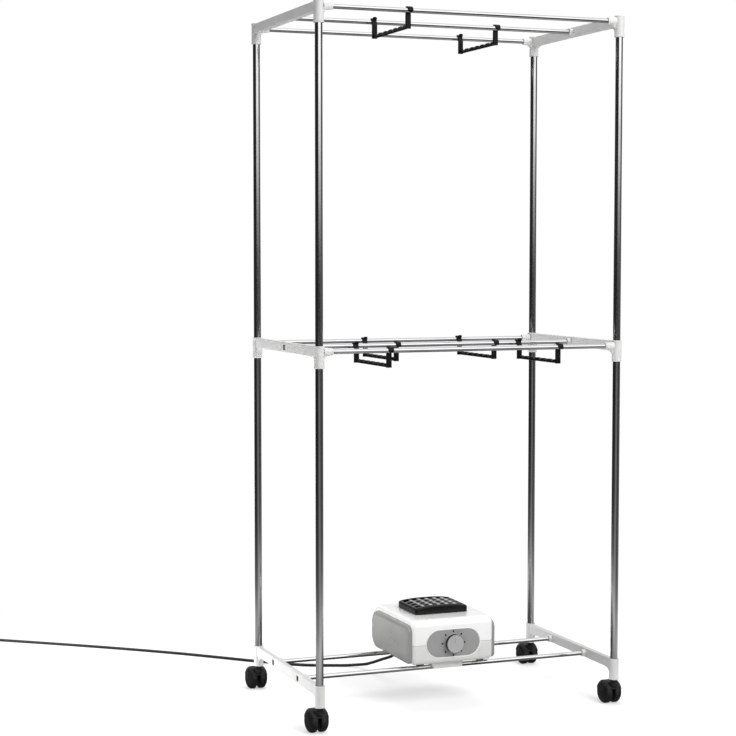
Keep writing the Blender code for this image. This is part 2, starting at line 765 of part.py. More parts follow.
def build_casters():
    """Four casters, each trailing to the back, with a facet of each wheel flat on the floor."""
    body = caster_body()
    axle = bar((0.0, 0.0, -AXLE_REACH), (0.0, 0.0, AXLE_REACH), AXLE_RADIUS, RAIL_SIDES)
    roller = wheel()
    for end, y in ENDS.items():
        for side, x in SIDES.items():
            corner = f"{end}_{side}"
            axle_at = (x, y + CASTER_TRAIL, AXLE_HEIGHT)
            part(f"caster_body_{corner}", body, BLACK_CASTER, (x, y, 0.0))
            part(f"caster_axle_{corner}", axle, STEEL, axle_at, ALONG_X)
            outward = ALONG_X if x > 0 else ALONG_MINUS_X
            inward = ALONG_MINUS_X if x > 0 else ALONG_X
            part(f"wheel_{corner}_outer", roller, BLACK_WHEEL, axle_at, outward)
            part(f"wheel_{corner}_inner", roller, BLACK_WHEEL, axle_at, inward)


def half_shell(mesh, height, above, wall):
    """The part of a closed surface above or below a height, as a wall that grows inwards."""
    shape = bmesh.new()
    shape.from_mesh(mesh)
    bmesh.ops.bisect_plane(
        shape,
        geom=shape.verts[:] + shape.edges[:] + shape.faces[:],
        plane_co=(0.0, 0.0, height),
        plane_no=(0.0, 0.0, 1.0 if above else -1.0),
        clear_inner=True,
    )
    return walled(from_bmesh(shape), wall)


def walled(mesh, wall):
    """An open surface given a wall on its inner side."""
    worker = bpy.data.objects.new("shell", mesh)
    PARTS.objects.link(worker)
    solid = worker.modifiers.new("wall", "SOLIDIFY")
    solid.thickness = wall
    solid.offset = -1.0
    solid.use_even_offset = True
    return result_of(worker)


def panel_outline(grow):
    """Stadium of the control panel in X and Z round its middle, grown by a clearance."""
    radius = PANEL_HEIGHT / 2
    straight = (PANEL_WIDTH - PANEL_HEIGHT) / 2
    right = arc((straight, 0.0), radius + grow, -90.0, 90.0, 10)
    left = arc((-straight, 0.0), radius + grow, 90.0, 270.0, 10)
    return right + left


def at_panel(y):
    """Place of a point on the knob's axis."""
    return Matrix.Translation((HEATER_X, y, PANEL_Z))


def casing_cuts():
    """Panel recess and shaft hole, which the two casing halves share."""
    recess = plate(
        panel_outline(SEAT_GAP), -PANEL_RECESS, OVERRUN, at_panel(CASING_FRONT_Y) @ TO_FRONT
    )
    hole = bar(
        (HEATER_X, CASING_FRONT_Y - OVERRUN, PANEL_Z),
        (HEATER_X, CASING_FRONT_Y + CASING_WALL + OVERRUN, PANEL_Z),
        TIMER_SHAFT_RADIUS + SEAT_GAP,
        RAIL_SIDES,
    )
    return [recess, hole]


def gland_frame():
    """Frame of the strain relief: on the round lower back corner, its Z pointing out of the casing."""
    radius = CASING_CORNERS["back_bottom"]
    slope = math.radians(GLAND_ANGLE)
    out = Vector((0.0, math.cos(slope), math.sin(slope)))
    centre = Vector((GLAND_X, CASING_BACK_Y - radius, CASING_BOTTOM + radius))
    return Matrix.Translation(centre + out * radius) @ out.to_track_quat("Z", "X").to_matrix().to_4x4()


def saddle(y):
    """A foot of the lower casing over a bottom rail, and the groove that it rides in."""
    x = HEATER_X + FOOT_SHIFT
    foot = block(
        (x - FOOT_LENGTH / 2, y - FOOT_WIDTH / 2, BOTTOM_RAIL_Z - FOOT_BELOW_RAIL),
        (x + FOOT_LENGTH / 2, y + FOOT_WIDTH / 2, CASING_BOTTOM + CASING_WALL / 2),
        FOOT_EDGE,
    )
    reach = FOOT_LENGTH / 2 + OVERRUN
    bore = RAIL_RADIUS + SEAT_GAP
    low = -FOOT_BELOW_RAIL - OVERRUN
    outline = arc((y, BOTTOM_RAIL_Z), bore, 0.0, 180.0, 6)
    outline += [(y - bore, BOTTOM_RAIL_Z + low), (y + bore, BOTTOM_RAIL_Z + low)]
    groove = plate(outline, x - reach, x + reach, ALONG_X)
    return foot, groove


def intake_slots():
    """Slots through the lower casing's floor on both sides of the motor."""
    cuts = []
    for i in range(INTAKE_SLOTS):
        away = MOTOR_RADIUS + INTAKE_MARGIN + i * INTAKE_SLOT_PITCH
        for x in (HEATER_X - away, HEATER_X + away):
            cuts.append(
                block(
                    (x - INTAKE_SLOT_WIDTH / 2, -INTAKE_SLOT_LENGTH / 2, CASING_BOTTOM - OVERRUN),
                    (x + INTAKE_SLOT_WIDTH / 2, INTAKE_SLOT_LENGTH / 2, CASING_FLOOR + OVERRUN),
                )
            )
    return cuts


def build_casing():
    """Upper and lower halves of the heater's casing, parted at the seam."""
    low = (CASING_FRONT_Y, CASING_BOTTOM)
    high = (CASING_BACK_Y, CASING_TOP)
    outline = rounded_outline(low, high, CASING_CORNERS, 4)
    half = CASING_LENGTH / 2
    to_heater = Matrix.Translation((HEATER_X, 0.0, 0.0)) @ ALONG_X
    skin = plate(outline, -half, half, to_heater, CASING_END_ROUND, 2)
    upper = half_shell(skin, CASING_SEAM + SEAT_GAP / 2, True, CASING_WALL)
    lower = half_shell(skin, CASING_SEAM - SEAT_GAP / 2, False, CASING_WALL)
    outlet_x = OUTLET_LENGTH / 2
    outlet_y = OUTLET_WIDTH / 2
    outlet = block(
        (GRILLE_X - outlet_x, GRILLE_SHIFT_Y - outlet_y, CASING_TOP - CASING_WALL - OVERRUN),
        (GRILLE_X + outlet_x, GRILLE_SHIFT_Y + outlet_y, CASING_TOP + OVERRUN),
    )
    part("upper_casing", shaped(upper, (), casing_cuts() + [outlet]), WHITE_CASING)
    feet, grooves = zip(*(saddle(y) for y in RAIL_PLACES["bottom"].values()))
    inside = (0.0, 0.0, -CASING_WALL - OVERRUN)
    outside = (0.0, 0.0, OVERRUN)
    relief_hole = moved(
        bar(inside, outside, GLAND_STUB_RADIUS + SEAT_GAP, RAIL_SIDES), gland_frame()
    )
    cuts = casing_cuts() + list(grooves) + intake_slots() + [relief_hole]
    part("lower_casing", shaped(lower, feet, cuts), WHITE_CASING)


def cover_form(inset):
    """A plate with rounded rims on both faces, the cover's outline and rise drawn in by an inset."""
    low = (CASING_FRONT_Y + COVER_INSET + inset, CASING_BOTTOM + COVER_BOTTOM_INSET + inset)
    high = (CASING_BACK_Y - COVER_INSET - inset, CASING_TOP - COVER_TOP_INSET - inset)
    corners = {place: radius - inset for place, radius in CASING_CORNERS.items()}
    half = COVER_ROUND + COVER_STRAIGHT
    flatten = Matrix.Scale((COVER_RISE - inset) / half, 4, (0.0, 0.0, 1.0))
    return plate(rounded_outline(low, high, corners, 4), -half, half, flatten, COVER_ROUND, 2)


def build_covers():
    """Grey side covers: the outer half of a rounded plate as a thin shell, on the casing's ends."""
    inner_half = block(
        (CASING_FRONT_Y, CASING_BOTTOM, -COVER_ROUND - COVER_STRAIGHT),
        (CASING_BACK_Y, CASING_TOP, 0.0),
    )
    dome = shaped(cover_form(0.0), (), [cover_form(COVER_WALL), inner_half])
    reach = CASING_LENGTH / 2 + SEAT_GAP
    for side, x in (("left", HEATER_X - reach), ("right", HEATER_X + reach)):
        mesh = moved(dome.copy(), ALONG_X)
        if side == "left":
            mesh.transform(Matrix.Scale(-1.0, 4, (1.0, 0.0, 0.0)))
            mesh.flip_normals()
        part(f"{side}_cover", mesh, GREY_COVER, (x, 0.0, 0.0))


def build_controls():
    """Panel in its recess, knob in front of it, and the timer switch whose shaft goes through both."""
    bore = TIMER_SHAFT_RADIUS + SEAT_GAP
    hole = bar((0.0, 0.0, -OVERRUN), (0.0, 0.0, PANEL_THICKNESS + OVERRUN), bore, RAIL_SIDES)
    panel = shaped(plate(panel_outline(0.0), 0.0, PANEL_THICKNESS, Matrix()), (), [hole])
    part("control_panel", panel, GREY_PANEL, at_panel(PANEL_BACK_Y).translation, TO_FRONT)
    knob = turned(
        [
            (0.0, KNOB_DEPTH),
            (KNOB_RADIUS - KNOB_DRAFT - KNOB_EDGE, KNOB_DEPTH),
            (KNOB_RADIUS - KNOB_DRAFT, KNOB_DEPTH - KNOB_EDGE),
            (KNOB_RADIUS, 0.0),
            (bore, 0.0),
            (bore, KNOB_BORE_DEPTH),
            (0.0, KNOB_BORE_DEPTH),
        ],
        KNOB_SIDES,
    )
    part("timer_knob", knob, GREY_KNOB, at_panel(KNOB_BACK_Y).translation, TO_FRONT)
    switch = block(
        (-TIMER_WIDTH / 2, 0.0, -TIMER_HEIGHT / 2),
        (TIMER_WIDTH / 2, TIMER_DEPTH, TIMER_HEIGHT / 2),
        TIMER_EDGE,
    )
    shaft_end = KNOB_BACK_Y - KNOB_BORE_DEPTH + SEAT_GAP - TIMER_FRONT_Y
    shaft = bar((0.0, TIMER_DEPTH / 2, 0.0), (0.0, shaft_end, 0.0), TIMER_SHAFT_RADIUS, RAIL_SIDES)
    part("timer_switch", shaped(switch, [shaft]), CREAM_SWITCH, at_panel(TIMER_FRONT_Y).translation)


def grille_height(x):
    """Height of the grille's arched top over the casing at a place along it."""
    share = abs(x) / (GRILLE_LENGTH / 2)
    return GRILLE_CROWN - GRILLE_FALL * share**3


def grille_line(index, count, length, border):
    """Place of a lattice line: the two outermost bound the border, the others are evenly spaced."""
    if index == 0:
        return -length / 2
    if index == count + 2:
        return length / 2
    return -length / 2 + border + (length - 2 * border) * (index - 1) / count


def build_grille():
    """Outlet grille: a lattice of windows under an arched top, with a skirt down to the casing."""
    shape = bmesh.new()
    columns = GRILLE_COLUMNS + 2
    rows = GRILLE_ROWS + 2
    bmesh.ops.create_grid(shape, x_segments=columns, y_segments=rows, size=1.0)
    for vert in shape.verts:
        i = round((vert.co.x + 1) / 2 * columns)
        j = round((vert.co.y + 1) / 2 * rows)
        x = grille_line(i, GRILLE_COLUMNS, GRILLE_LENGTH, GRILLE_BORDER_X)
        y = grille_line(j, GRILLE_ROWS, GRILLE_WIDTH, GRILLE_BORDER_Y)
        vert.co = (x, y, grille_height(x))
    inner_x = GRILLE_LENGTH / 2 - GRILLE_BORDER_X
    inner_y = GRILLE_WIDTH / 2 - GRILLE_BORDER_Y
    cells = [
        face
        for face in shape.faces
        if abs(face.calc_center_median().x) < inner_x and abs(face.calc_center_median().y) < inner_y
    ]
    bmesh.ops.inset_individual(shape, faces=cells, thickness=GRILLE_BAR / 2)
    bmesh.ops.delete(shape, geom=cells, context="FACES")
    rim = [
        edge
        for edge in shape.edges
        if edge.is_boundary
        and all(
            abs(vert.co.x) > GRILLE_LENGTH / 2 - SEAT_GAP
            or abs(vert.co.y) > GRILLE_WIDTH / 2 - SEAT_GAP
            for vert in edge.verts
        )
    ]
    skirt = bmesh.ops.extrude_edge_only(shape, edges=rim)["geom"]
    for vert in skirt:
        if isinstance(vert, bmesh.types.BMVert):
            vert.co.z = 0.0
    bmesh.ops.recalc_face_normals(shape, faces=shape.faces[:])
    if max(shape.faces, key=lambda face: face.calc_center_median().z).normal.z < 0:
        bmesh.ops.reverse_faces(shape, faces=shape.faces[:])
    mesh = walled(from_bmesh(shape), GRILLE_WALL)
    part("outlet_grille", mesh, BLACK_GRILLE, (GRILLE_X, GRILLE_SHIFT_Y, CASING_TOP + SEAT_GAP))


def build_element():
    """Frame that hangs under the outlet, and the finned element on its ledge."""
    half_x = FRAME_LENGTH / 2
    half_y = FRAME_WIDTH / 2
    outer = block((-half_x, -half_y, -FRAME_HEIGHT), (half_x, half_y, 0.0))
    inside_x = half_x - FRAME_WALL
    inside_y = half_y - FRAME_WALL
    well = block((-inside_x, -inside_y, -FRAME_HEIGHT + FRAME_WALL), (inside_x, inside_y, OVERRUN))
    throat = block(
        (FRAME_LEDGE - inside_x, FRAME_LEDGE - inside_y, -FRAME_HEIGHT - OVERRUN),
        (inside_x - FRAME_LEDGE, inside_y - FRAME_LEDGE, 0.0),
    )
    at = (GRILLE_X, GRILLE_SHIFT_Y, FRAME_TOP)
    part("element_frame", shaped(outer, (), [well, throat]), DARK_FRAME, at)
    size_x = inside_x - SEAT_GAP
    size_y = inside_y - SEAT_GAP
    core = block((-size_x, -size_y, 0.0), (size_x, size_y, ELEMENT_HEIGHT))
    pitch = 2 * (size_x - ELEMENT_RIM) / ELEMENT_SLOTS
    slots = []
    for i in range(ELEMENT_SLOTS):
        x = (i - (ELEMENT_SLOTS - 1) / 2) * pitch
        slots.append(
            block(
                (x - ELEMENT_SLOT_WIDTH / 2, ELEMENT_RIM - size_y, -OVERRUN),
                (x + ELEMENT_SLOT_WIDTH / 2, size_y - ELEMENT_RIM, ELEMENT_HEIGHT + OVERRUN),
            )
        )
    seat = FRAME_TOP - FRAME_HEIGHT + FRAME_WALL + SEAT_GAP
    part("heating_element", shaped(core, (), slots), ALLOY_FIN, (GRILLE_X, GRILLE_SHIFT_Y, seat))


def build_fan():
    """Motor with its shaft on the casing's floor, and the impeller on the shaft."""
    motor = turned(
        [
            (0.0, MOTOR_HEIGHT + FAN_SHAFT_LENGTH),
            (FAN_SHAFT_RADIUS, MOTOR_HEIGHT + FAN_SHAFT_LENGTH),
            (FAN_SHAFT_RADIUS, MOTOR_HEIGHT),
            (MOTOR_RADIUS - MOTOR_EDGE, MOTOR_HEIGHT),
            (MOTOR_RADIUS, MOTOR_HEIGHT - MOTOR_EDGE),
            (MOTOR_RADIUS, 0.0),
            (0.0, 0.0),
        ],
        POST_SIDES,
    )
    part("fan_motor", motor, STEEL, (HEATER_X, 0.0, CASING_FLOOR + SEAT_GAP))
    hub = bar((0.0, 0.0, 0.0), (0.0, 0.0, FAN_HUB_HEIGHT), FAN_HUB_RADIUS, RAIL_SIDES)
    blades = []
    for i in range(FAN_BLADES):
        blade = block(
            (FAN_HUB_RADIUS / 2, -FAN_BLADE_WIDTH / 2, -FAN_BLADE_THICKNESS / 2),
            (FAN_RADIUS, FAN_BLADE_WIDTH / 2, FAN_BLADE_THICKNESS / 2),
        )
        spin = Matrix.Rotation(2 * math.pi * i / FAN_BLADES, 4, "Z")
        tilt = Matrix.Rotation(math.radians(FAN_BLADE_TILT), 4, "X")
        lift = Matrix.Translation((0.0, 0.0, FAN_HUB_HEIGHT / 2))
        blades.append(moved(blade, spin @ lift @ tilt))
    bore_end = FAN_SHAFT_LENGTH - FAN_LIFT + SEAT_GAP
    bore = bar((0.0, 0.0, -OVERRUN), (0.0, 0.0, bore_end), FAN_SHAFT_RADIUS + SEAT_GAP, RAIL_SIDES)
    part("fan_impeller", shaped(hub, blades, [bore]), WHITE_FAN, (HEATER_X, 0.0, MOTOR_TOP + FAN_LIFT))


def build_gland():
    """Strain relief: a stub in the casing's hole, a flange, and a tapered sleeve round the cord."""
    base = SEAT_GAP
    gland = turned(
        [
            (0.0, base + GLAND_LENGTH),
            (GLAND_TIP_RADIUS, base + GLAND_LENGTH),
            (GLAND_ROOT_RADIUS, base + GLAND_FLANGE),
            (GLAND_FLANGE_RADIUS, base + GLAND_FLANGE),
            (GLAND_FLANGE_RADIUS, base),
            (GLAND_STUB_RADIUS, base),
            (GLAND_STUB_RADIUS, -GLAND_STUB_LENGTH),
            (0.0, -GLAND_STUB_LENGTH),
        ],
        GLAND_SIDES,
    )
    frame = gland_frame()
    part("cord_gland", gland, BLACK_CORD, frame.translation, frame.to_3x3().to_4x4())
    return frame @ Vector((0.0, 0.0, base + GLAND_LENGTH + SEAT_GAP))


def smooth_route(points, spacing):
    """Points at a steady spacing on the Catmull-Rom curve through the given ones."""
    padded = [2 * points[0] - points[1]] + points + [2 * points[-1] - points[-2]]
    fine = [points[0]]
    for before, start, end, after in zip(padded, padded[1:], padded[2:], padded[3:]):
        for i in range(1, 21):
            t = i / 20
            fine.append(
                0.5
                * (
                    2 * start
                    + (end - before) * t
                    + (2 * before - 5 * start + 4 * end - after) * t**2
                    + (3 * start - before - 3 * end + after) * t**3
                )
            )
    lengths = [0.0]
    for a, b in zip(fine, fine[1:]):
        lengths.append(lengths[-1] + (b - a).length)
    count = round(lengths[-1] / spacing)
    route = []
    k = 0
    for i in range(count + 1):
        wanted = lengths[-1] * i / count
        while k < len(fine) - 2 and lengths[k + 1] < wanted:
            k += 1
        share = (wanted - lengths[k]) / (lengths[k + 1] - lengths[k])
        route.append(fine[k].lerp(fine[k + 1], share))
    return route


def round_tube(points, radius, rounding):
    """A solid round tube along points, its end caps welded on."""
    curve = bpy.data.curves.new("route", "CURVE")
    curve.dimensions = "3D"
    curve.bevel_depth = radius
    curve.bevel_resolution = rounding
    curve.use_fill_caps = True
    spline = curve.splines.new("POLY")
    spline.points.add(len(points) - 1)
    for point, place in zip(spline.points, points):
        point.co = (*place, 1.0)
    worker = bpy.data.objects.new("route", curve)
    PARTS.objects.link(worker)
    made = bmesh.new()
    made.from_mesh(result_of(worker))
    bmesh.ops.remove_doubles(made, verts=made.verts[:], dist=SEAT_GAP / 100)
    bmesh.ops.recalc_face_normals(made, faces=made.faces[:])
    return from_bmesh(made)


def route_length(points):
    return sum((b - a).length for a, b in zip(points, points[1:]))


def coil_points(entry, heading):
    """Turns to the left of the heading: inwards on the floor, a climb, and outwards on top."""
    normal = Vector((-heading.y, heading.x, 0.0))
    centre = entry + normal * COIL_RADIUS
    start = math.atan2(-normal.y, -normal.x)
    middle = COIL_TURNS / 2
    steps = round(COIL_TURNS * COIL_POINTS_PER_TURN)
    points = []
    for i in range(steps + 1):
        turn = COIL_TURNS * i / steps
        away = abs(turn - middle)
        if away < COIL_TURN_ROUNDING:
            away = (away**2 + COIL_TURN_ROUNDING**2) / (2 * COIL_TURN_ROUNDING)
        radius = COIL_RADIUS - COIL_PITCH * (middle - away)
        climb = min(max((turn - middle) / (2 * COIL_TURN_ROUNDING) + 0.5, 0.0), 1.0)
        rise = COIL_LAYER_RISE * climb**2 * (3 - 2 * climb)
        angle = start + 2 * math.pi * turn
        points.append(centre + Vector((radius * math.cos(angle), radius * math.sin(angle), rise)))
    return points


def coil_gap(points):
    """Least gap between turns of the tube: points over half a turn apart along it, less a diameter."""
    far = COIL_POINTS_PER_TURN // 2
    least = min(
        (b - a).length for i, a in enumerate(points) for b in points[i + far :]
    )
    return least - CORD_DIAMETER


def build_plug(back, heading):
    """Two-pin plug on the floor, from the point where the cord meets it, along the heading."""
    turn = heading.to_track_quat("Z", "Y").to_matrix().to_4x4()
    body_start = PLUG_TAIL_LENGTH
    body_end = body_start + PLUG_LENGTH
    half_height = PLUG_AXIS_Z - FLOOR_GAP
    body = block(
        (-PLUG_WIDTH / 2, -half_height, body_start), (PLUG_WIDTH / 2, half_height, body_end), PLUG_EDGE
    )
    tail_end = (0.0, 0.0, body_start + PLUG_EDGE)
    tail = bar((0.0, 0.0, 0.0), tail_end, PLUG_TAIL_TIP_RADIUS, RAIL_SIDES, PLUG_TAIL_ROOT_RADIUS)
    pins = [
        bar(
            (x, 0.0, body_end - PLUG_EDGE),
            (x, 0.0, body_end + PLUG_PIN_LENGTH),
            PLUG_PIN_RADIUS,
            PLUG_PIN_SIDES,
        )
        for x in (-PLUG_PIN_SPACING / 2, PLUG_PIN_SPACING / 2)
    ]
    at = back + heading * SEAT_GAP
    plug = part("mains_plug", shaped(body, [tail] + pins), BLACK_CORD, at, turn)
    plug.parent = None


def build_cord(exit_point):
    """The cord's free stretch and its coil, in the floor's own frame, and the plug on its end."""
    first = exit_point + Vector((0.0, DEPTH_SHIFT, 0.0))
    route = smooth_route([first] + [Vector(place) for place in CORD_ROUTE], CORD_POINT_SPACING)
    free = part("power_cord", round_tube(route, CORD_RADIUS, 2), BLACK_CORD)
    free.parent = None
    heading = route[-1] - route[-2]
    heading.z = 0.0
    heading.normalize()
    start = route[-1] + heading * SEAT_GAP
    turns = coil_points(start + heading * CORD_DIAMETER, heading)
    last = turns[-1]
    leaving = Vector((-heading.y, heading.x, 0.0))
    end = last + leaving * COIL_LEAD_OUT
    coil = [start] + turns + [last + leaving * COIL_LEAD_OUT / 2, end]
    wound = part("power_cord_coil", round_tube(coil, CORD_RADIUS, 1), BLACK_CORD)
    wound.parent = None
    build_plug(end, leaving)
    print(f"free cord {route_length(route):.4f} m in {len(route)} points")
    print(f"coil {route_length(coil):.4f} m in {len(coil)} points")
    print(f"least gap between turns of the coil {1000 * coil_gap(turns):.2f} mm")
    print("coil starts at", [round(value, 4) for value in start])
    print("coil heads along", [round(value, 4) for value in heading])
    print("cord leaves the relief at", [round(value, 4) for value in first])


build_posts()
build_side_beams()
build_rails()
build_hooks()
build_casters()
build_casing()
build_covers()
build_controls()
build_grille()
build_element()
build_fan()
build_cord(build_gland())
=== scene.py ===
"""Looks of a portable clothes dryer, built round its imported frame. Metres, +Z up, floor at zero."""

import math

import bmesh
import bpy
import numpy as np
from mathutils import Matrix, Vector


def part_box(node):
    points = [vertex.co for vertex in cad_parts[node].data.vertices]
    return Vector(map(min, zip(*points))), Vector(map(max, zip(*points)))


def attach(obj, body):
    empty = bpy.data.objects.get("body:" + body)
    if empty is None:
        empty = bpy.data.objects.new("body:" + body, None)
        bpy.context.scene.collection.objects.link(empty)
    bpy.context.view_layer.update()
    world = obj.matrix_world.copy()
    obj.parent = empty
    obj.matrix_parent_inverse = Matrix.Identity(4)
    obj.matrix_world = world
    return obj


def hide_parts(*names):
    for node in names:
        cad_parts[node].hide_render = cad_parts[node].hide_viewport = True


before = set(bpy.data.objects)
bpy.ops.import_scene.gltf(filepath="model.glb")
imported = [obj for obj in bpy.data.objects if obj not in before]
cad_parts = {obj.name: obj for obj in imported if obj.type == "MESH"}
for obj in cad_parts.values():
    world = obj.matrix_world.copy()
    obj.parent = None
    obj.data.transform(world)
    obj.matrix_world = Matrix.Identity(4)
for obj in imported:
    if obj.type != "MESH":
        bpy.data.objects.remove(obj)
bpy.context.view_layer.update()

# Camera
# It stands to the left of the rack at chest height, far enough off that the posts stay nearly upright.
camera_data = bpy.data.cameras.new("camera")
camera_data.lens = 88.35
camera_data.sensor_width = 36.0
camera = bpy.data.objects.new("camera", camera_data)
camera.location = (-1.5866, -3.6782, 0.9902)
CAMERA_DIP = 0.0633
CAMERA_YAW = -0.3723
camera.rotation_euler = (math.pi / 2 - CAMERA_DIP, 0.0, CAMERA_YAW)
bpy.context.scene.collection.objects.link(camera)
bpy.context.scene.camera = camera

# Power cord
# A round two-core lead in a smooth black jacket. It leaves the heater's back, drops to the floor, runs
# out of the view to the left, and the rest of its 2 m lies there in a neat coil.
CORD_DIAMETER = 0.007
CORD_SIDES = 20
CORD_STEP = 0.006
CORD_EXIT = (-0.0300, 0.1089, 0.0906)
CORD_ROUTE = (
    CORD_EXIT,
    (-0.0301, 0.1210, 0.0795),
    (-0.0313, 0.1385, 0.0666),
    (-0.0326, 0.1608, 0.0562),
    (-0.0352, 0.1879, 0.0468),
    (-0.0378, 0.2070, 0.0400),
    (-0.0395, 0.2296, 0.0318),
    (-0.0416, 0.2530, 0.0238),
    (-0.0450, 0.2870, 0.0131),
    (-0.0604, 0.3165, 0.0062),
    (-0.0830, 0.3310, 0.0038),
    (-0.1140, 0.3436, 0.0038),
    (-0.1472, 0.3577, 0.0038),
    (-0.1867, 0.3810, 0.0038),
    (-0.2310, 0.4190, 0.0038),
    (-0.2773, 0.4624, 0.0038),
    (-0.3444, 0.5300, 0.0038),
    (-0.4146, 0.5988, 0.0038),
    (-0.4870, 0.6635, 0.0038),
    (-0.5611, 0.7264, 0.0038),
    (-0.6400, 0.7905, 0.0038),
    (-0.7220, 0.8545, 0.0038),
    (-0.8023, 0.9165, 0.0038),
    (-0.8589, 0.9591, 0.0038),
)
COIL_TURNS = 3.25
COIL_RADIUS = 0.042
COIL_PITCH = 0.0078
COIL_RISE = 0.0076
COIL_EASE = 0.25
COIL_STEPS = 48
COIL_LEAD_OUT = 0.026
SEAT_GAP = 0.0003
rightward, backward, upright = np.eye(3)


def unit(vectors):
    """Each vector over its own length."""
    return vectors / np.linalg.norm(vectors, axis=-1, keepdims=True)


def smoothed(share):
    """A share held between nought and one, then three times its square less twice its cube."""
    share = np.clip(share, 0.0, 1.0)
    return share**2 * (3 - 2 * share)


def evenly(points, spacing):
    """Steady steps on the curve through the points.

    Each span is the cubic in t whose slope at either end is half the step between that end's
    neighbours. The steps are then read off at equal lengths along it.
    """
    points = np.asarray(points, float)
    padded = np.vstack([2 * points[0] - points[1], points, 2 * points[-1] - points[-2]])
    before, start, end, after = padded[:-3], padded[1:-2], padded[2:-1], padded[3:]
    t = np.linspace(0.0, 1.0, 20, endpoint=False)[:, None, None]
    square = 2 * before - 5 * start + 4 * end - after
    cube = 3 * start - before - 3 * end + after
    fine = 0.5 * (2 * start + (end - before) * t + square * t**2 + cube * t**3)
    fine = np.vstack([fine.transpose(1, 0, 2).reshape(-1, 3), points[-1:]])
    steps = np.linalg.norm(np.diff(fine, axis=0), axis=1)
    lengths = np.concatenate([[0.0], np.cumsum(steps)])
    wanted = np.linspace(0.0, lengths[-1], round(lengths[-1] / spacing) + 1)
    return np.column_stack([np.interp(wanted, lengths, fine[:, axis]) for axis in range(3)])


def coil(entry, heading):
    """Centre line of the coil: two spiral layers, inwards on the floor and outwards on top.

    At turn t the radius is the outer one less the pitch times how far t is from the nearer end, and
    the angle is t full turns. The height climbs by one layer, on a smooth step, at the middle turn.
    """
    normal = np.cross(upright, heading)
    centre = entry + normal * COIL_RADIUS
    turn = np.linspace(0.0, COIL_TURNS, round(COIL_TURNS * COIL_STEPS) + 1)
    middle = COIL_TURNS / 2
    away = np.abs(turn - middle)
    eased = (away**2 + COIL_EASE**2) / (2 * COIL_EASE)
    away = np.where(away < COIL_EASE, eased, away)
    radius = COIL_RADIUS - COIL_PITCH * (middle - away)
    rise = COIL_RISE * smoothed((turn - middle) / (2 * COIL_EASE) + 0.5)
    angle = math.atan2(-normal[1], -normal[0]) + 2 * math.pi * turn
    return centre + np.column_stack([radius * np.cos(angle), radius * np.sin(angle), rise])


def circle(radius, sides):
    """Points of a circle: radius times the cosine and sine of evenly spaced angles."""
    angle = np.linspace(0.0, 2 * math.pi, sides, endpoint=False)
    return radius * np.column_stack([np.cos(angle), np.sin(angle)])


def carried(section, path, normal, loop=False):
    """A flat section carried along a path, one ring for each point of the path.

    The section's first axis is the path's direction crossed with the normal, its second is square to
    both, and each ring is the path's point plus the section's two coordinates along those axes.
    """
    path = np.asarray(path, float)
    if loop:
        ahead = np.roll(path, -1, axis=0) - np.roll(path, 1, axis=0)
    else:
        ahead = np.gradient(path, axis=0)
    ahead = unit(ahead)
    across = unit(np.cross(ahead, normal))
    up = np.cross(across, ahead)
    section = np.broadcast_to(section, (len(path), *np.shape(section)[-2:]))
    return path[:, None] + section[..., :1] * across[:, None] + section[..., 1:] * up[:, None]


def mesh_of(shape, name):
    """A new mesh of an edit mesh, which is used up."""
    made = bpy.data.meshes.new(name)
    shape.to_mesh(made)
    shape.free()
    return made


def closed_mesh(name, skins):
    """A mesh of closed skins, each a grid of rings.

    Each ring joins its last point to its first. A skin given with a true flag is joined from its last
    ring to its first. Otherwise both its ends are closed by fans to the middles of the end rings.
    """
    whole = bmesh.new()
    for rings, loop in skins:
        if not loop:
            start = np.broadcast_to(rings[0].mean(axis=0), rings[0].shape)
            end = np.broadcast_to(rings[-1].mean(axis=0), rings[-1].shape)
            rings = np.concatenate([start[None], rings, end[None]])
        index = np.arange(rings.shape[0] * rings.shape[1]).reshape(rings.shape[:2])
        if loop:
            index = np.vstack([index, index[:1]])
        turn = np.roll(index, -1, axis=1)
        quads = np.stack([index[:-1], turn[:-1], turn[1:], index[1:]], axis=-1).reshape(-1, 4)
        one = bpy.data.meshes.new("skin")
        one.from_pydata(rings.reshape(-1, 3).tolist(), [], quads.tolist())
        skin = bmesh.new()
        skin.from_mesh(one)
        bmesh.ops.remove_doubles(skin, verts=skin.verts[:], dist=0.000002)
        bmesh.ops.recalc_face_normals(skin, faces=skin.faces[:])
        skin.to_mesh(one)
        skin.free()
        whole.from_mesh(one)
        bpy.data.meshes.remove(one)
    return mesh_of(whole, name)


def piece(name, mesh, material, body, nodes=(), crease=35.0):
    """A finished mesh as a piece that rides on a body and stands for CAD nodes."""
    mesh.materials.clear()
    mesh.materials.append(material)
    mesh.shade_smooth()
    mesh.set_sharp_from_angle(angle=math.radians(crease))
    made = bpy.data.objects.new(name, mesh)
    bpy.context.scene.collection.objects.link(made)
    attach(made, body)
    if nodes:
        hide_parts(*nodes)
    return made


def plug_in(tree, value, socket):
    """A socket linked to another, or set to a plain value."""
    if isinstance(value, bpy.types.NodeSocket):
        tree.links.new(value, socket)
    else:
        socket.default_value = value


def node(tree, kind, settings=None, **inputs):
    """A node of a tree with its settings and its inputs, each a socket or a plain value."""
    made = tree.nodes.new(kind)
    for key, value in (settings or {}).items():
        setattr(made, key, value)
    for key, value in inputs.items():
        plug_in(tree, value, made.inputs[key.replace("_", " ")])
    return made


def calculate(tree, operation, *values):
    """The result of a maths node on numbers or sockets."""
    made = node(tree, "ShaderNodeMath", {"operation": operation})
    for socket, value in zip(made.inputs, values):
        plug_in(tree, value, socket)
    return made.outputs["Value"]


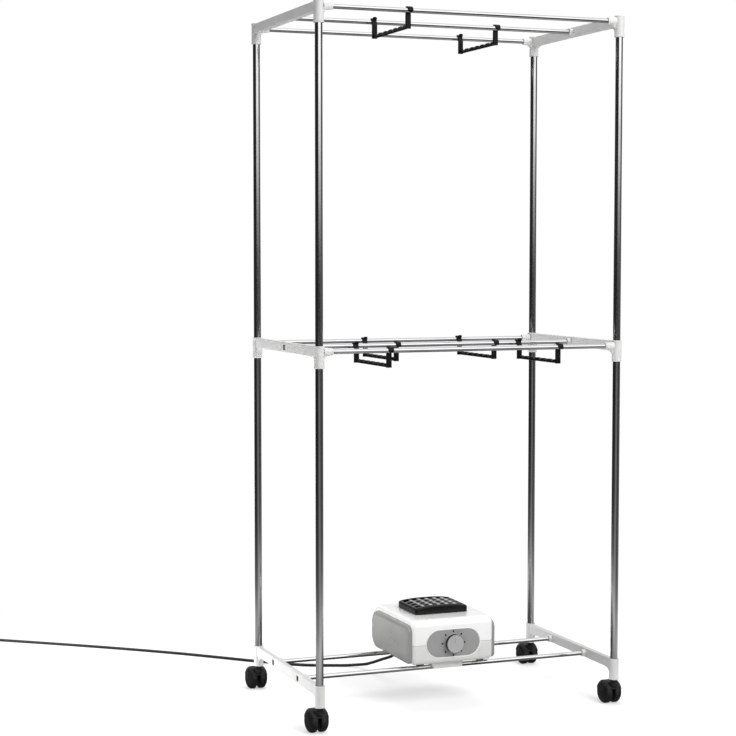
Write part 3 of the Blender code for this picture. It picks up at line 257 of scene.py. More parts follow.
def mixed(tree, factor, first, second):
    """A colour between two others, each a socket or a plain colour."""
    made = node(tree, "ShaderNodeMix", {"data_type": "RGBA"})
    plug_in(tree, factor, made.inputs[0])
    for socket, value in ((made.inputs[6], first), (made.inputs[7], second)):
        plug_in(tree, (*value, 1.0) if isinstance(value, tuple) else value, socket)
    return made.outputs[2]


def noise(tree, place, scale, detail, roughness=0.5):
    """The value of a noise over a place."""
    made = node(tree, "ShaderNodeTexNoise", Vector=place, Scale=scale, Detail=detail, Roughness=roughness)
    return made.outputs["Fac"]


def ranged(tree, value, low, high, bottom=0.0, top=1.0, kind="LINEAR"):
    """A value taken from one range to another and held there, straight or along a smooth step."""
    made = node(
        tree, "ShaderNodeMapRange", {"interpolation_type": kind}, Value=value, From_Min=low, From_Max=high,
        To_Min=bottom, To_Max=top,
    )
    return made.outputs["Result"]


def object_place(tree):
    """The place on the object, in its own coordinates."""
    return tree.nodes.new("ShaderNodeTexCoord").outputs["Object"]


def new_group(name, inputs, outputs):
    """A shader group of plain numbers: its tree, and its own inputs and outputs by name."""
    group = bpy.data.node_groups.new(name, "ShaderNodeTree")
    for label, value in inputs.items():
        socket = group.interface.new_socket(label, in_out="INPUT", socket_type="NodeSocketFloat")
        socket.default_value = value
    for label in outputs:
        group.interface.new_socket(label, in_out="OUTPUT", socket_type="NodeSocketFloat")
    return group, group.nodes.new("NodeGroupInput").outputs, group.nodes.new("NodeGroupOutput").inputs


# The fine orange peel of a moulded surface, and the slow drift of its shade
GRAIN, grain_in, grain_out = new_group(
    "moulded_grain", {"Fine Scale": 1800.0, "Drift Scale": 22.0}, ("Height", "Drift")
)
grain_place = object_place(GRAIN)
peel = noise(GRAIN, grain_place, grain_in["Fine Scale"], 3.0, 0.6)
drift = noise(GRAIN, grain_place, grain_in["Drift Scale"], 4.0, 0.55)
GRAIN.links.new(peel, grain_out["Height"])
GRAIN.links.new(ranged(GRAIN, drift, 0.32, 0.68), grain_out["Drift"])

# Worn edges that also carry a painted highlight: where the surface turns sharply outwards, broken up by a
# noise
EDGE, edge_in, edge_out = new_group("worn_and_highlit_edge", {"Start": 0.53, "Full": 0.62}, ("Mask",))
sharpness = EDGE.nodes.new("ShaderNodeNewGeometry").outputs["Pointiness"]
edge_worn_and_lit = ranged(EDGE, sharpness, edge_in["Start"], edge_in["Full"])
edge_break = ranged(EDGE, noise(EDGE, object_place(EDGE), 260.0, 4.0), 0.38, 0.62)
EDGE.links.new(calculate(EDGE, "MULTIPLY", edge_worn_and_lit, edge_break), edge_out["Mask"])

# Dust that settles on what faces up
DUST_GREY = (0.42, 0.41, 0.39)
DUST, dust_in, dust_out = new_group("settled_dust", {"Amount": 0.2}, ("Mask",))
dust_normal = DUST.nodes.new("ShaderNodeNewGeometry").outputs["Normal"]
dust_facing = node(DUST, "ShaderNodeSeparateXYZ", Vector=dust_normal).outputs["Z"]
dust_break = ranged(DUST, noise(DUST, object_place(DUST), 320.0, 5.0, 0.7), 0.42, 0.66)
dust_mask = calculate(DUST, "MULTIPLY", ranged(DUST, dust_facing, 0.45, 0.95), dust_break)
DUST.links.new(calculate(DUST, "MULTIPLY", dust_mask, dust_in["Amount"]), dust_out["Mask"])


def moulded(name, colour, drifted, edge_wear_and_highlight, roughness, drift_scale=22.0, grain=(1800.0, 0.00004),
            dust=0.1, edge=(0.53, 0.62), coat=0.0, shine=0.5):
    """A moulded plastic or rubber: its shade drifts, its edges are worn and painted lighter as a highlight,
    dust lies on its top.

    The roughness is a range, the grain a scale and a depth, and the edge where the wear and its painted
    highlight start and where they are full.
    """
    made = bpy.data.materials.new(name)
    made.use_nodes = True
    tree = made.node_tree
    shader = tree.nodes["Principled BSDF"]
    grain_scale, grain_depth = grain
    peel_settings = {"Fine_Scale": grain_scale, "Drift_Scale": drift_scale}
    grains = node(tree, "ShaderNodeGroup", {"node_tree": GRAIN}, **peel_settings)
    edges = node(tree, "ShaderNodeGroup", {"node_tree": EDGE}, Start=edge[0], Full=edge[1])
    dusts = node(tree, "ShaderNodeGroup", {"node_tree": DUST}, Amount=dust)
    shade = mixed(tree, grains.outputs["Drift"], colour, drifted)
    # Sharp edges take a lighter colour: wear, and a painted highlight
    shade = mixed(tree, edges.outputs["Mask"], shade, edge_wear_and_highlight)
    shade = mixed(tree, dusts.outputs["Mask"], shade, DUST_GREY)
    tree.links.new(shade, shader.inputs["Base Color"])
    sheen = ranged(tree, grains.outputs["Drift"], 0.0, 1.0, *roughness)
    rough = calculate(tree, "ADD", sheen, dusts.outputs["Mask"])
    tree.links.new(rough, shader.inputs["Roughness"])
    bump = node(tree, "ShaderNodeBump", Height=grains.outputs["Height"], Distance=grain_depth, Strength=0.6)
    tree.links.new(bump.outputs["Normal"], shader.inputs["Normal"])
    shader.inputs["Specular IOR Level"].default_value = shine
    shader.inputs["Coat Weight"].default_value = coat
    shader.inputs["Coat Roughness"].default_value = 0.08
    return made


CORD_JACKET = moulded(
    "cord_jacket", (0.008, 0.008, 0.008), (0.014, 0.014, 0.014), (0.03, 0.03, 0.03), (0.34, 0.46),
    drift_scale=60.0, grain=(2600.0, 0.00002), dust=0.05,
)
free_route = evenly(CORD_ROUTE, CORD_STEP)
cord_heading = free_route[-1] - free_route[-2]
cord_heading = unit(cord_heading * [1.0, 1.0, 0.0])
cord_normal = np.cross(upright, cord_heading)
coil_entry = free_route[-1] + cord_heading * (SEAT_GAP + CORD_DIAMETER)
coil_line = coil(coil_entry, cord_heading)
cord_end = coil_line[-1] + cord_normal * COIL_LEAD_OUT
lead_out = coil_line[-1] + np.linspace(0.0, 1.0, 6)[1:, None] * (cord_end - coil_line[-1])
cord_line = np.vstack([free_route, coil_line, lead_out])
cord_rings = carried(circle(CORD_DIAMETER / 2, CORD_SIDES), cord_line, upright)
power_cord = piece(
    "cord_lead", closed_mesh("cord_lead", [(cord_rings, False)]), CORD_JACKET, "rack",
    ["power_cord", "power_cord_coil"],
)

# Tie of the coil
# A flat plastic-covered wire, bent round both layers of the coil and twisted together at its ends.
TIE_WIDTH = 0.0042
TIE_THICKNESS = 0.00024
TIE_BEND = 0.0034
TIE_OFF_FLOOR = 0.00003
TIE_HEADING = math.radians(200.0)
TWIST_TURNS = 2.5
TWIST_LENGTH = 0.011
TWIST_RADIUS = 0.0007
TWIST_LEAN = 0.004
STRAND_RADIUS = 0.0006


def rounded_loop(half_x, half_y, radius, steps):
    """A rectangle with round corners: at each corner a quarter circle, its middle moved inwards."""
    quarter = np.radians(np.linspace(0.0, 90.0, steps + 1))
    angles = np.concatenate([quarter + math.pi / 2 * k for k in range(4)])
    sign_x = np.repeat([1.0, -1.0, -1.0, 1.0], steps + 1)
    sign_y = np.repeat([1.0, 1.0, -1.0, -1.0], steps + 1)
    return np.column_stack([
        sign_x * (half_x - radius) + radius * np.cos(angles),
        sign_y * (half_y - radius) + radius * np.sin(angles),
    ])


coil_centre = coil_entry + cord_normal * COIL_RADIUS
tie_out = np.array([math.cos(TIE_HEADING), math.sin(TIE_HEADING), 0.0])
tie_side = np.cross(upright, tie_out)
coil_inner = COIL_RADIUS - COIL_PITCH * COIL_TURNS / 2 - CORD_DIAMETER / 2
coil_outer = COIL_RADIUS + CORD_DIAMETER / 2
tie_reach = (coil_outer - coil_inner) / 2 + TIE_THICKNESS
tie_top = float(CORD_ROUTE[-1][2]) + COIL_RISE + CORD_DIAMETER / 2 + TIE_THICKNESS
tie_low = TIE_THICKNESS / 2 + TIE_OFF_FLOOR
tie_middle = coil_centre + tie_out * (coil_inner + coil_outer) / 2
tie_middle[2] = (tie_top + tie_low) / 2
tie_loop = rounded_loop(tie_reach, (tie_top - tie_low) / 2, TIE_BEND, 6)
tie_line = tie_middle + tie_loop[:, :1] * tie_out + tie_loop[:, 1:] * upright
tie_section = rounded_loop(TIE_THICKNESS / 2, TIE_WIDTH / 2, TIE_THICKNESS / 3, 2)
tie_skins = [(carried(tie_section, tie_line, tie_side, loop=True), True)]
twist = np.linspace(0.0, 1.0, 40)[:, None]
for sign in (1.0, -1.0):
    swing = 2 * math.pi * TWIST_TURNS * twist
    strand = (
        tie_middle
        + upright * ((tie_top - tie_low) / 2 + STRAND_RADIUS + TWIST_LENGTH * twist)
        + sign * TWIST_RADIUS * (np.cos(swing) * tie_out + np.sin(swing) * tie_side)
        + tie_side * TWIST_LEAN * twist**2
    )
    tie_skins.append((carried(circle(STRAND_RADIUS, 8), strand, tie_out), False))
TIE_PLASTIC = moulded(
    "tie_plastic", (0.010, 0.010, 0.011), (0.018, 0.018, 0.019), (0.05, 0.05, 0.05), (0.3, 0.42)
)
cord_tie = piece("cord_tie", closed_mesh("cord_tie", tie_skins), TIE_PLASTIC, "rack")

# Mains plug
# A black two-pin plug moulded onto the cord: a ribbed grip, a flat face with a flange, and two plated
# pins. It lies on the floor beside the coil.
PLUG_END = 0.060
PLUG_NECK = 0.0047
PLUG_WIDENS = 0.0066
PLUG_THICKENS = 0.0048
PLUG_FLARE = 0.0001
SWELL_FROM = 0.010
SWELL_LENGTH = 0.014
RIB_DEPTH = 0.0006
RIB_PITCH = 0.0042
RIBS_FROM = 0.024
RIBS_TO = 0.045
FLANGE_FROM = 0.0545
FLANGE_PROUD = 0.0011
FACE_ROUND = 0.0012
FACE_ROUND_FROM = 0.0585
PIN_FROM_MIDDLE = 0.0095
PIN_RADIUS = 0.0020
PIN_ROOT = PLUG_END - 0.002
PIN_END = PLUG_END + 0.0190


def superellipse(half_x, half_y, power, sides):
    """Rings whose x and y are the half sizes times the cosine and sine, each to the power 2 / power."""
    angle = np.linspace(0.0, 2 * math.pi, sides, endpoint=False)
    cosine, sine = np.cos(angle), np.sin(angle)
    half_x, half_y, power = (np.atleast_1d(value)[:, None] for value in (half_x, half_y, power))
    x = half_x * np.sign(cosine) * np.abs(cosine) ** (2 / power)
    y = half_y * np.sign(sine) * np.abs(sine) ** (2 / power)
    return np.stack([x, y], axis=-1)


def turned(profile, sides, flutes=0, depth=0.0):
    """A profile of (radius, height) turned about Z; the radius may dip by a share at each flute."""
    profile = np.asarray(profile, float)
    angle = np.linspace(0.0, 2 * math.pi, sides, endpoint=False)
    radius = profile[:, :1] * (1.0 - np.reshape(depth, (-1, 1)) * (0.5 - 0.5 * np.cos(flutes * angle)))
    height = np.broadcast_to(profile[:, 1:2], radius.shape)
    return np.stack([radius * np.cos(angle), radius * np.sin(angle), height], axis=-1)


def placed(rings, matrix):
    """Points turned and moved by a matrix."""
    matrix = np.array(matrix)
    return rings @ matrix[:3, :3].T + matrix[:3, 3]


def axes_at(origin, across, up, along):
    """A matrix whose columns are three axes, and an origin."""
    made = np.eye(4)
    made[:3, :4] = np.column_stack([across, up, along, origin])
    return made


plug_place = axes_at(
    cord_end + cord_normal * SEAT_GAP, np.cross(upright, cord_normal), upright, cord_normal
)
plug_along = np.linspace(0.0, 1.0, 90)
plug_z = PLUG_END * plug_along
swell = smoothed((plug_z - SWELL_FROM) / SWELL_LENGTH)
ribs = RIB_DEPTH * np.clip(np.sin((plug_z - RIBS_FROM) / RIB_PITCH * 2 * math.pi) * 2.0, -1.0, 0.3)
ribs = np.where((plug_z > RIBS_FROM) & (plug_z < RIBS_TO), ribs, 0.0)
flange = FLANGE_PROUD * (plug_z > FLANGE_FROM)
face_share = np.clip((plug_z - FACE_ROUND_FROM) / (PLUG_END - FACE_ROUND_FROM), 0.0, 1.0)
plug_neck = PLUG_NECK + ribs + flange - FACE_ROUND * face_share**2
plug_half_x = plug_neck + PLUG_WIDENS * swell + PLUG_FLARE * plug_along
plug_half_y = plug_neck + PLUG_THICKENS * swell
plug_rings = np.concatenate([
    superellipse(plug_half_x, plug_half_y, 2.0 + 1.6 * swell, 48),
    np.broadcast_to(plug_z[:, None, None], (len(plug_z), 48, 1)),
], axis=-1)
PLUG_RUBBER = moulded(
    "plug_rubber", (0.010, 0.010, 0.010), (0.016, 0.016, 0.016), (0.04, 0.04, 0.04), (0.42, 0.55),
    grain=(1500.0, 0.00006),
)
plug_body = piece(
    "plug_body", closed_mesh("plug_body", [(placed(plug_rings, plug_place), False)]), PLUG_RUBBER,
    "rack", ["mains_plug"],
)


def plated(name, colour, roughness, stretch, streak):
    """A plated or drawn metal: fine streaks along the piece change its roughness and its surface."""
    made = bpy.data.materials.new(name)
    made.use_nodes = True
    tree = made.node_tree
    shader = tree.nodes["Principled BSDF"]
    shader.inputs["Metallic"].default_value = 1.0
    along = node(tree, "ShaderNodeMapping", Vector=object_place(tree), Scale=stretch)
    streaks = noise(tree, along.outputs["Vector"], 1.0, 5.0, 0.65)
    grains = node(tree, "ShaderNodeGroup", {"node_tree": GRAIN}, Fine_Scale=900.0, Drift_Scale=14.0)
    shade = mixed(tree, grains.outputs["Drift"], colour, tuple(0.88 * value for value in colour))
    tree.links.new(shade, shader.inputs["Base Color"])
    tree.links.new(ranged(tree, streaks, 0.3, 0.7, *roughness), shader.inputs["Roughness"])
    bump = node(tree, "ShaderNodeBump", Height=streaks, Distance=streak, Strength=0.5)
    tree.links.new(bump.outputs["Normal"], shader.inputs["Normal"])
    return made


PIN_PLATING = plated("pin_plating", (0.66, 0.66, 0.67), (0.16, 0.26), (900.0, 900.0, 900.0), 0.00001)
pin_skins = []
for sign in (1.0, -1.0):
    pin = turned(
        [
            (0.0, PIN_ROOT),
            (PIN_RADIUS, PIN_ROOT),
            (PIN_RADIUS, PIN_END - 0.0018),
            (0.85 * PIN_RADIUS, PIN_END - 0.0006),
            (0.5 * PIN_RADIUS, PIN_END),
            (0.0, PIN_END),
        ],
        24,
    )
    pin[..., 0] += sign * PIN_FROM_MIDDLE
    pin_skins.append((placed(pin, plug_place), False))
plug_pins = piece("plug_pins", closed_mesh("plug_pins", pin_skins), PIN_PLATING, "rack")

# Strain relief
# A soft black bush on the casing's round lower back corner: a flange, then a sleeve that tapers along
# the cord and is cut by rings so that it bends with it.
GLAND_TURN = math.radians(-45.0)
GLAND_LENGTH = 0.0283
gland_axis = np.array([0.0, math.cos(GLAND_TURN), math.sin(GLAND_TURN)])
gland_root = np.array(CORD_EXIT) - gland_axis * (GLAND_LENGTH + SEAT_GAP)
gland_up = np.cross(gland_axis, rightward)
gland_place = axes_at(gland_root, rightward, gland_up, gland_axis)
taper_z = np.linspace(0.0033, GLAND_LENGTH, 76)
taper_share = (taper_z - taper_z[0]) / (taper_z[-1] - taper_z[0])
ring_cut = 0.0007 * (np.sin(taper_share * 2 * math.pi * 7 - 0.6) > 0.35)
ring_cut = np.convolve(np.pad(ring_cut, 1, mode="edge"), [0.25, 0.5, 0.25], mode="valid")
taper_radius = 0.0066 - 0.0020 * taper_share - ring_cut
gland_profile = np.vstack([
    [(0.0, -0.0035), (0.0044, -0.0035), (0.0048, -0.0030), (0.0048, 0.0003), (0.0076, 0.0003)],
    [(0.0080, 0.0007), (0.0080, 0.0026), (0.0076, 0.0032), (0.0068, 0.0033)],
    np.column_stack([taper_radius, taper_z]),
    [(0.0042, GLAND_LENGTH + 0.0001), (0.0, GLAND_LENGTH + 0.0001)],
])
gland_rings = placed(turned(gland_profile, 40), gland_place)
piece(
    "strain_relief", closed_mesh("strain_relief", [(gland_rings, False)]), PLUG_RUBBER,
    "rack", ["cord_gland"],
)

# Posts
# Eight round steel tubes, drawn and chrome plated, pushed into the side mouldings' sleeves: a lower and
# an upper one at each corner.
POST_RADIUS = 0.008
POST_WALL = 0.001
RIM_ROUND = 0.0003
SIDES = ("left", "right")
ENDS = ("front", "back")
TUBE_SIDES = 64


def tube_profile(radius, wall, low, high, rim):
    """Closed profile of an open tube: its outer and inner walls, with the rims' corners cut off."""
    return [
        (radius, low + rim),
        (radius, high - rim),
        (radius - rim, high),
        (radius - wall + rim, high),
        (radius - wall, high - rim),
        (radius - wall, low + rim),
        (radius - wall + rim, low),
        (radius - rim, low),
    ]


POST_CHROME = plated("post_chrome", (0.58, 0.58, 0.59), (0.07, 0.13), (1100.0, 1100.0, 1.5), 0.000002)
for level in ("lower", "upper"):
    for end in ENDS:
        for side in SIDES:
            corner = f"{level}_{end}_{side}"
            low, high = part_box(f"post_{corner}")
            rings = turned(tube_profile(POST_RADIUS, POST_WALL, low.z, high.z, RIM_ROUND), TUBE_SIDES)
            rings = rings + np.array([(low.x + high.x) / 2, (low.y + high.y) / 2, 0.0])
            mesh = closed_mesh(f"tube_{corner}", [(rings, True)])
            piece(f"tube_{corner}", mesh, POST_CHROME, "rack", [f"post_{corner}"])

# Cross rails
# Thinner chromed tubes from side to side: three at the top, three in the middle, and two at the bottom
# that carry the heater.
RAIL_RADIUS = 0.005
RAIL_WALL = 0.0008
ALONG_X = axes_at(np.zeros(3), backward, upright, rightward)
RAILS = {
    "top": ("front", "centre", "back"),
    "middle": ("front", "centre", "back"),
    "bottom": ("front", "back"),
}
RAIL_CHROME = plated("rail_chrome", (0.60, 0.60, 0.61), (0.06, 0.12), (1.5, 1300.0, 1300.0), 0.000002)
for tier, places in RAILS.items():
    for place in places:
        low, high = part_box(f"rail_{tier}_{place}")
        rings = turned(tube_profile(RAIL_RADIUS, RAIL_WALL, low.x, high.x, RIM_ROUND / 2), 48)
        rings = placed(rings, ALONG_X) + np.array([0.0, (low.y + high.y) / 2, (low.z + high.z) / 2])
        mesh = closed_mesh(f"bar_{tier}_{place}", [(rings, True)])
        piece(
            f"bar_{tier}_{place}", mesh, RAIL_CHROME, "rack", [f"rail_{tier}_{place}"]
        )

# Side mouldings
# Six white plastic mouldings, one at each side of each tier. A box beam joins two upright sleeves that
# take the posts, arched webs brace it, and tapered sockets or collars hold the rails' ends.
SLEEVE_RADIUS = 0.0105
SLEEVE_HEIGHT = 0.046
SLEEVE_RIM = 0.0009
SLEEVE_BEAD = 0.0005
BEAD_HEIGHT = 0.0030
SLEEVE_CAP = 0.003
SLEEVE_WEB = 0.004
STEM_BORE = 0.0043
STEM_BORE_DEPTH = 0.020
POST_BORE = POST_RADIUS + SEAT_GAP
RAIL_BORE = RAIL_RADIUS + SEAT_GAP
RAIL_DROP = 0.012
BEAM_HALF_WIDTH = 0.0065
BEAM_HALF_HEIGHT = 0.011
BEAM_ROUND = 0.0022
BEAM_ARCH = 0.0006
WEB_HALF_WIDTH = 0.004
WEB_LENGTH = 0.025
WEB_HEIGHT = 0.020
WEB_LEAST_DEPTH = 0.0005
WEB_OVERLAP = 0.002
SOCKET_REACH = 0.029
SOCKET_ROOT = 0.0088
SOCKET_MOUTH = 0.0074
SOCKET_RIM = 0.0008
SOCKET_WEB = (0.0025, 0.013, 0.014)
SOCKET_WEB_OVERLAP = 0.0006
COLLAR_REACH = 0.0155
COLLAR_RADIUS = 0.008
COLLAR_TAPER = 0.0003
COLLAR_OVERLAP = 0.0005
SLOT_WIDTH = 0.012
SLOT_HEIGHT = 0.012
SLOT_DEPTH = 0.002
STOP_RADIUS = 0.0057
STOP_EDGE = 0.0005
STOP_THICKNESS = 0.0014


def rounded_rim(outer, inner, top, rim):
    """Profile points over a tube's rim, from its outer wall to its inner one: two quarter arcs."""
    turn = np.radians(np.linspace(0.0, 90.0, 5))
    away = np.column_stack([outer - rim + rim * np.cos(turn), top - rim + rim * np.sin(turn)])
    back = np.column_stack([inner + rim - rim * np.sin(turn), top - rim + rim * np.cos(turn)])
    return np.vstack([away, back])


def sleeve_profile(tier):
    """A sleeve's profile from the axis, over its top and down its beaded side, to the axis again."""
    beads = [
        (SLEEVE_RADIUS + SLEEVE_BEAD, -BEAD_HEIGHT),
        (SLEEVE_RADIUS, -BEAD_HEIGHT - SLEEVE_BEAD),
        (SLEEVE_RADIUS, -SLEEVE_HEIGHT + BEAD_HEIGHT + SLEEVE_BEAD),
        (SLEEVE_RADIUS + SLEEVE_BEAD, -SLEEVE_HEIGHT + BEAD_HEIGHT),
    ]
    outer = SLEEVE_RADIUS + SLEEVE_BEAD
    if tier == "top":
        crown = [(0.0, 0.0), *rounded_rim(outer, 0.0, 0.0, SLEEVE_RIM)[4::-1]]
        foot_bore, floor = POST_BORE, -SLEEVE_CAP
    else:
        even = (SLEEVE_HEIGHT - SLEEVE_WEB) / 2
        foot_bore, foot_depth = (POST_BORE, even) if tier == "middle" else (STEM_BORE, STEM_BORE_DEPTH)
        depth = SLEEVE_HEIGHT - SLEEVE_WEB - foot_depth
        rim = rounded_rim(outer, POST_BORE, 0.0, SLEEVE_RIM)[::-1]
        crown = [(0.0, -depth), (POST_BORE, -depth), *rim]
        floor = foot_depth - SLEEVE_HEIGHT
    foot = rounded_rim(outer, foot_bore, 0.0, SLEEVE_RIM) * [1.0, -1.0] - [0.0, SLEEVE_HEIGHT]
    return np.vstack([crown, beads, foot, [(foot_bore, floor), (0.0, floor)]])


def bored_bar(root, mouth, start, reach, floor, bore, rim):
    """Profile of a round socket that tapers from its root to its mouth and is bored from there."""
    turn = np.radians(np.linspace(0.0, 90.0, 5))
    lip = np.column_stack([mouth - rim + rim * np.sin(turn), reach - rim + rim * np.cos(turn)])
    return np.vstack([
        [(0.0, start), (root, start)],
        lip[::-1],
        [(bore + rim / 2, reach), (bore, reach - rim / 2), (bore, floor), (0.0, floor)],
    ])


def beam_rings(half_length):
    """The beam's rounded box section at steps along it, a little lower in the middle of its length.

    Its top and its two sides are straight. The underside rises by a cosine of the distance along it,
    as the arch between the two webs.
    """
    y = np.linspace(-half_length, half_length, 41)
    rise = BEAM_ARCH * np.cos(math.pi * y / half_length / 2)
    section = rounded_loop(BEAM_HALF_WIDTH, BEAM_HALF_HEIGHT, BEAM_ROUND, 5)
    x = np.broadcast_to(section[:, 0], (len(y), len(section)))
    z = section[:, 1] + rise[:, None] * (section[:, 1] < 0)
    return np.stack([x, np.broadcast_to(y[:, None], x.shape), z], axis=-1)


def web_rings(half_width, length, height):
    """A brace in a corner: at each distance a rounded section hangs from the beam, its depth falling
    by a quarter circle from the full height at the sleeve to nothing at its reach."""
    away = np.linspace(0.0, 1.0, 17)
    depth = height * (1.0 - np.sqrt(1.0 - (1.0 - away) ** 2)) + WEB_LEAST_DEPTH
    x = length * away
    section = rounded_loop(1.0, 1.0, 0.35, 4)
    across = half_width * section[:, 0]
    down = WEB_OVERLAP - (depth[:, None] + WEB_OVERLAP) * (0.5 - 0.5 * section[:, 1])
    return np.stack([
        np.broadcast_to(x[:, None], down.shape), np.broadcast_to(across, down.shape), down
    ], axis=-1)


def notched(mesh, slots):
    """A mesh with small boxes, each given by its two corners, cut out of it."""
    base = bpy.data.objects.new("base", mesh)
    bpy.context.scene.collection.objects.link(base)
    tools = []
    for low, high in slots:
        low, high = np.array(low), np.array(high)
        shape = bmesh.new()
        bmesh.ops.create_cube(shape, size=1.0)
        shape.transform(
            Matrix.Translation(Vector((low + high) / 2)) @ Matrix.Diagonal((*(high - low), 1.0))
        )
        box = bpy.data.meshes.new("slot")
        shape.to_mesh(box)
        shape.free()
        tools.append(bpy.data.objects.new("slot", box))
    return cut_out(base, tools)


def cut_out(base, tools):
    """The mesh of an object less the tools' solids. The object and the tools are used up."""
    for tool in tools:
        bpy.context.scene.collection.objects.link(tool)
        step = base.modifiers.new("cut", "BOOLEAN")
        step.operation = "DIFFERENCE"
        step.solver = "EXACT"
        step.object = tool
    bpy.context.view_layer.update()
    made = bpy.data.meshes.new_from_object(base.evaluated_get(bpy.context.evaluated_depsgraph_get()))
    for used in (*tools, base):
        bpy.data.objects.remove(used)
    return made


def joined(meshes, name):
    """One mesh of several."""
    whole = bmesh.new()
    for one in meshes:
        whole.from_mesh(one)
        bpy.data.meshes.remove(one)
    return mesh_of(whole, name)


# Black rubber for the slot stops, whose black is also painted shade of the slots, and for the pads under
# the heater, which are painted shadow
STOP_RUBBER_AND_SHADE = moulded(
    "stop_rubber_and_shade", (0.010, 0.010, 0.010), (0.016, 0.016, 0.016), (0.03, 0.03, 0.03), (0.5, 0.6),
    dust=0.05, shine=0.3,
)
STOP_PROFILE = (
    (0.0, 0.0),
    (STOP_RADIUS - STOP_EDGE, 0.0),
    (STOP_RADIUS, STOP_EDGE),
    (STOP_RADIUS, STOP_THICKNESS),
    (0.0, STOP_THICKNESS),
)
WHITE_PLASTIC = moulded(
    "white_moulding", (0.64, 0.64, 0.635), (0.59, 0.59, 0.58), (0.72, 0.72, 0.715), (0.36, 0.50),
    drift_scale=26.0, grain=(1400.0, 0.00002), dust=0.10,
)
post_low, post_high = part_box("post_lower_back_left")
rack_half_y = (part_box("post_lower_back_left")[0].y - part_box("post_lower_front_left")[0].y) / 2
rack_middle_y = (post_low.y + post_high.y) / 2 - rack_half_y
TURN_LENGTHWISE = axes_at(np.zeros(3), -backward, rightward, upright)
for tier, places in RAILS.items():
    for side in SIDES:
        low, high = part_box(f"side_beam_{tier}_{side}")
        post_low, post_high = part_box(f"post_lower_front_{side}")
        middle = np.array([(post_low.x + post_high.x) / 2, rack_middle_y, high.z])
        rail_z = np.array([0.0, 0.0, -RAIL_DROP])
        slots = []
        stops = []
        skins = []
        for end_sign in (-1.0, 1.0):
            at_end = np.array([0.0, end_sign * rack_half_y, 0.0])
            skins.append((turned(sleeve_profile(tier), 64) + at_end, False))
            web = web_rings(WEB_HALF_WIDTH, WEB_LENGTH, WEB_HEIGHT)
            web = placed(web, TURN_LENGTHWISE) * [1.0, end_sign, 1.0]
            into_sleeve = end_sign * (SLEEVE_RIM - SLEEVE_RADIUS)
            start = np.array([0.0, into_sleeve, -RAIL_DROP - BEAM_HALF_HEIGHT])
            skins.append((web + at_end + start, False))
        for place in places:
            rail_low, rail_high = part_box(f"rail_{tier}_{place}")
            at_rail = np.array([0.0, (rail_low.y + rail_high.y) / 2 - rack_middle_y, -RAIL_DROP])
            if abs(abs(at_rail[1]) - rack_half_y) < SEAT_GAP:
                bar = bored_bar(
                    SOCKET_ROOT, SOCKET_MOUTH, POST_BORE + SLEEVE_RIM, SOCKET_REACH,
                    POST_BORE + SLEEVE_CAP, RAIL_BORE, SOCKET_RIM,
                )
                web = web_rings(*SOCKET_WEB)
                web = web + at_rail + [SLEEVE_RADIUS - SLEEVE_RIM, 0.0, SOCKET_WEB_OVERLAP - SOCKET_MOUTH]
                skins.append((web, False))
            else:
                bar = bored_bar(
                    COLLAR_RADIUS, COLLAR_RADIUS - COLLAR_TAPER, SLEEVE_CAP - COLLAR_OVERLAP,
                    COLLAR_REACH, SLEEVE_CAP, RAIL_BORE, SOCKET_RIM,
                )
                if tier != "top":
                    slots.append((
                        at_rail + [-BEAM_HALF_WIDTH - SLOT_DEPTH, -SLOT_WIDTH / 2, -SLOT_HEIGHT / 2],
                        at_rail + [-BEAM_HALF_WIDTH + SLOT_DEPTH, SLOT_WIDTH / 2, SLOT_HEIGHT / 2],
                    ))
                    # A black stop in each slot: a rubber part whose black also stands for painted shade of
                    # the recess
                    stop = placed(turned(STOP_PROFILE, 32), ALONG_X) + at_rail
                    stops.append((stop + [SLOT_DEPTH - BEAM_HALF_WIDTH - STOP_THICKNESS, 0.0, 0.0], False))
            skins.append((placed(turned(bar, 48), ALONG_X) + at_rail, False))
        beam = beam_rings(rack_half_y - POST_BORE - SLEEVE_RIM) + rail_z
        beam_mesh = closed_mesh("beam", [(beam, False)])
        parts = [notched(beam_mesh, slots), closed_mesh("sleeves", skins)]
        mesh = joined(parts, f"moulding_{tier}_{side}")
        turn = Matrix.Rotation(0.0 if side == "left" else math.pi, 4, "Z")
        mesh.transform(Matrix.Translation(Vector(middle)) @ turn)
        piece(
            f"moulding_{tier}_{side}", mesh, WHITE_PLASTIC, "rack",
            [f"side_beam_{tier}_{side}"], crease=40.0,
        )
        if stops:
            plugs = closed_mesh(f"rail_stops_{tier}_{side}", stops)
            plugs.transform(Matrix.Translation(Vector(middle)) @ turn)
            piece(f"rail_stops_{tier}_{side}", plugs, STOP_RUBBER_AND_SHADE, "rack")

# Garment hooks
# Six black plastic hooks that clip over two neighbouring rails and slide on them. Two flat legs with a
# thumb tab hang from the clips, and a notched bar between their feet keeps hangers apart.
CLIP_WALL = 0.003
LEG_THICKNESS = 0.006
LEG_DROP = 0.036
HOOK_HALF_WIDTH = 0.0055
HOOK_BAR_HALF_WIDTH = 0.0035
HOOK_BAR_HEIGHT = 0.008
HOOK_BAR_ROUND = 0.0009
HOOK_BAR_LIFT = 0.0005
NOTCH_COUNT = 6
NOTCH_PITCH = 0.028
NOTCH_HALF = 0.008
NOTCH_DEPTH = 0.0048
HOOK_NAMES = (
    "hook_top_1", "hook_top_2", "hook_middle_1", "hook_middle_2", "hook_middle_3", "hook_middle_4"
)


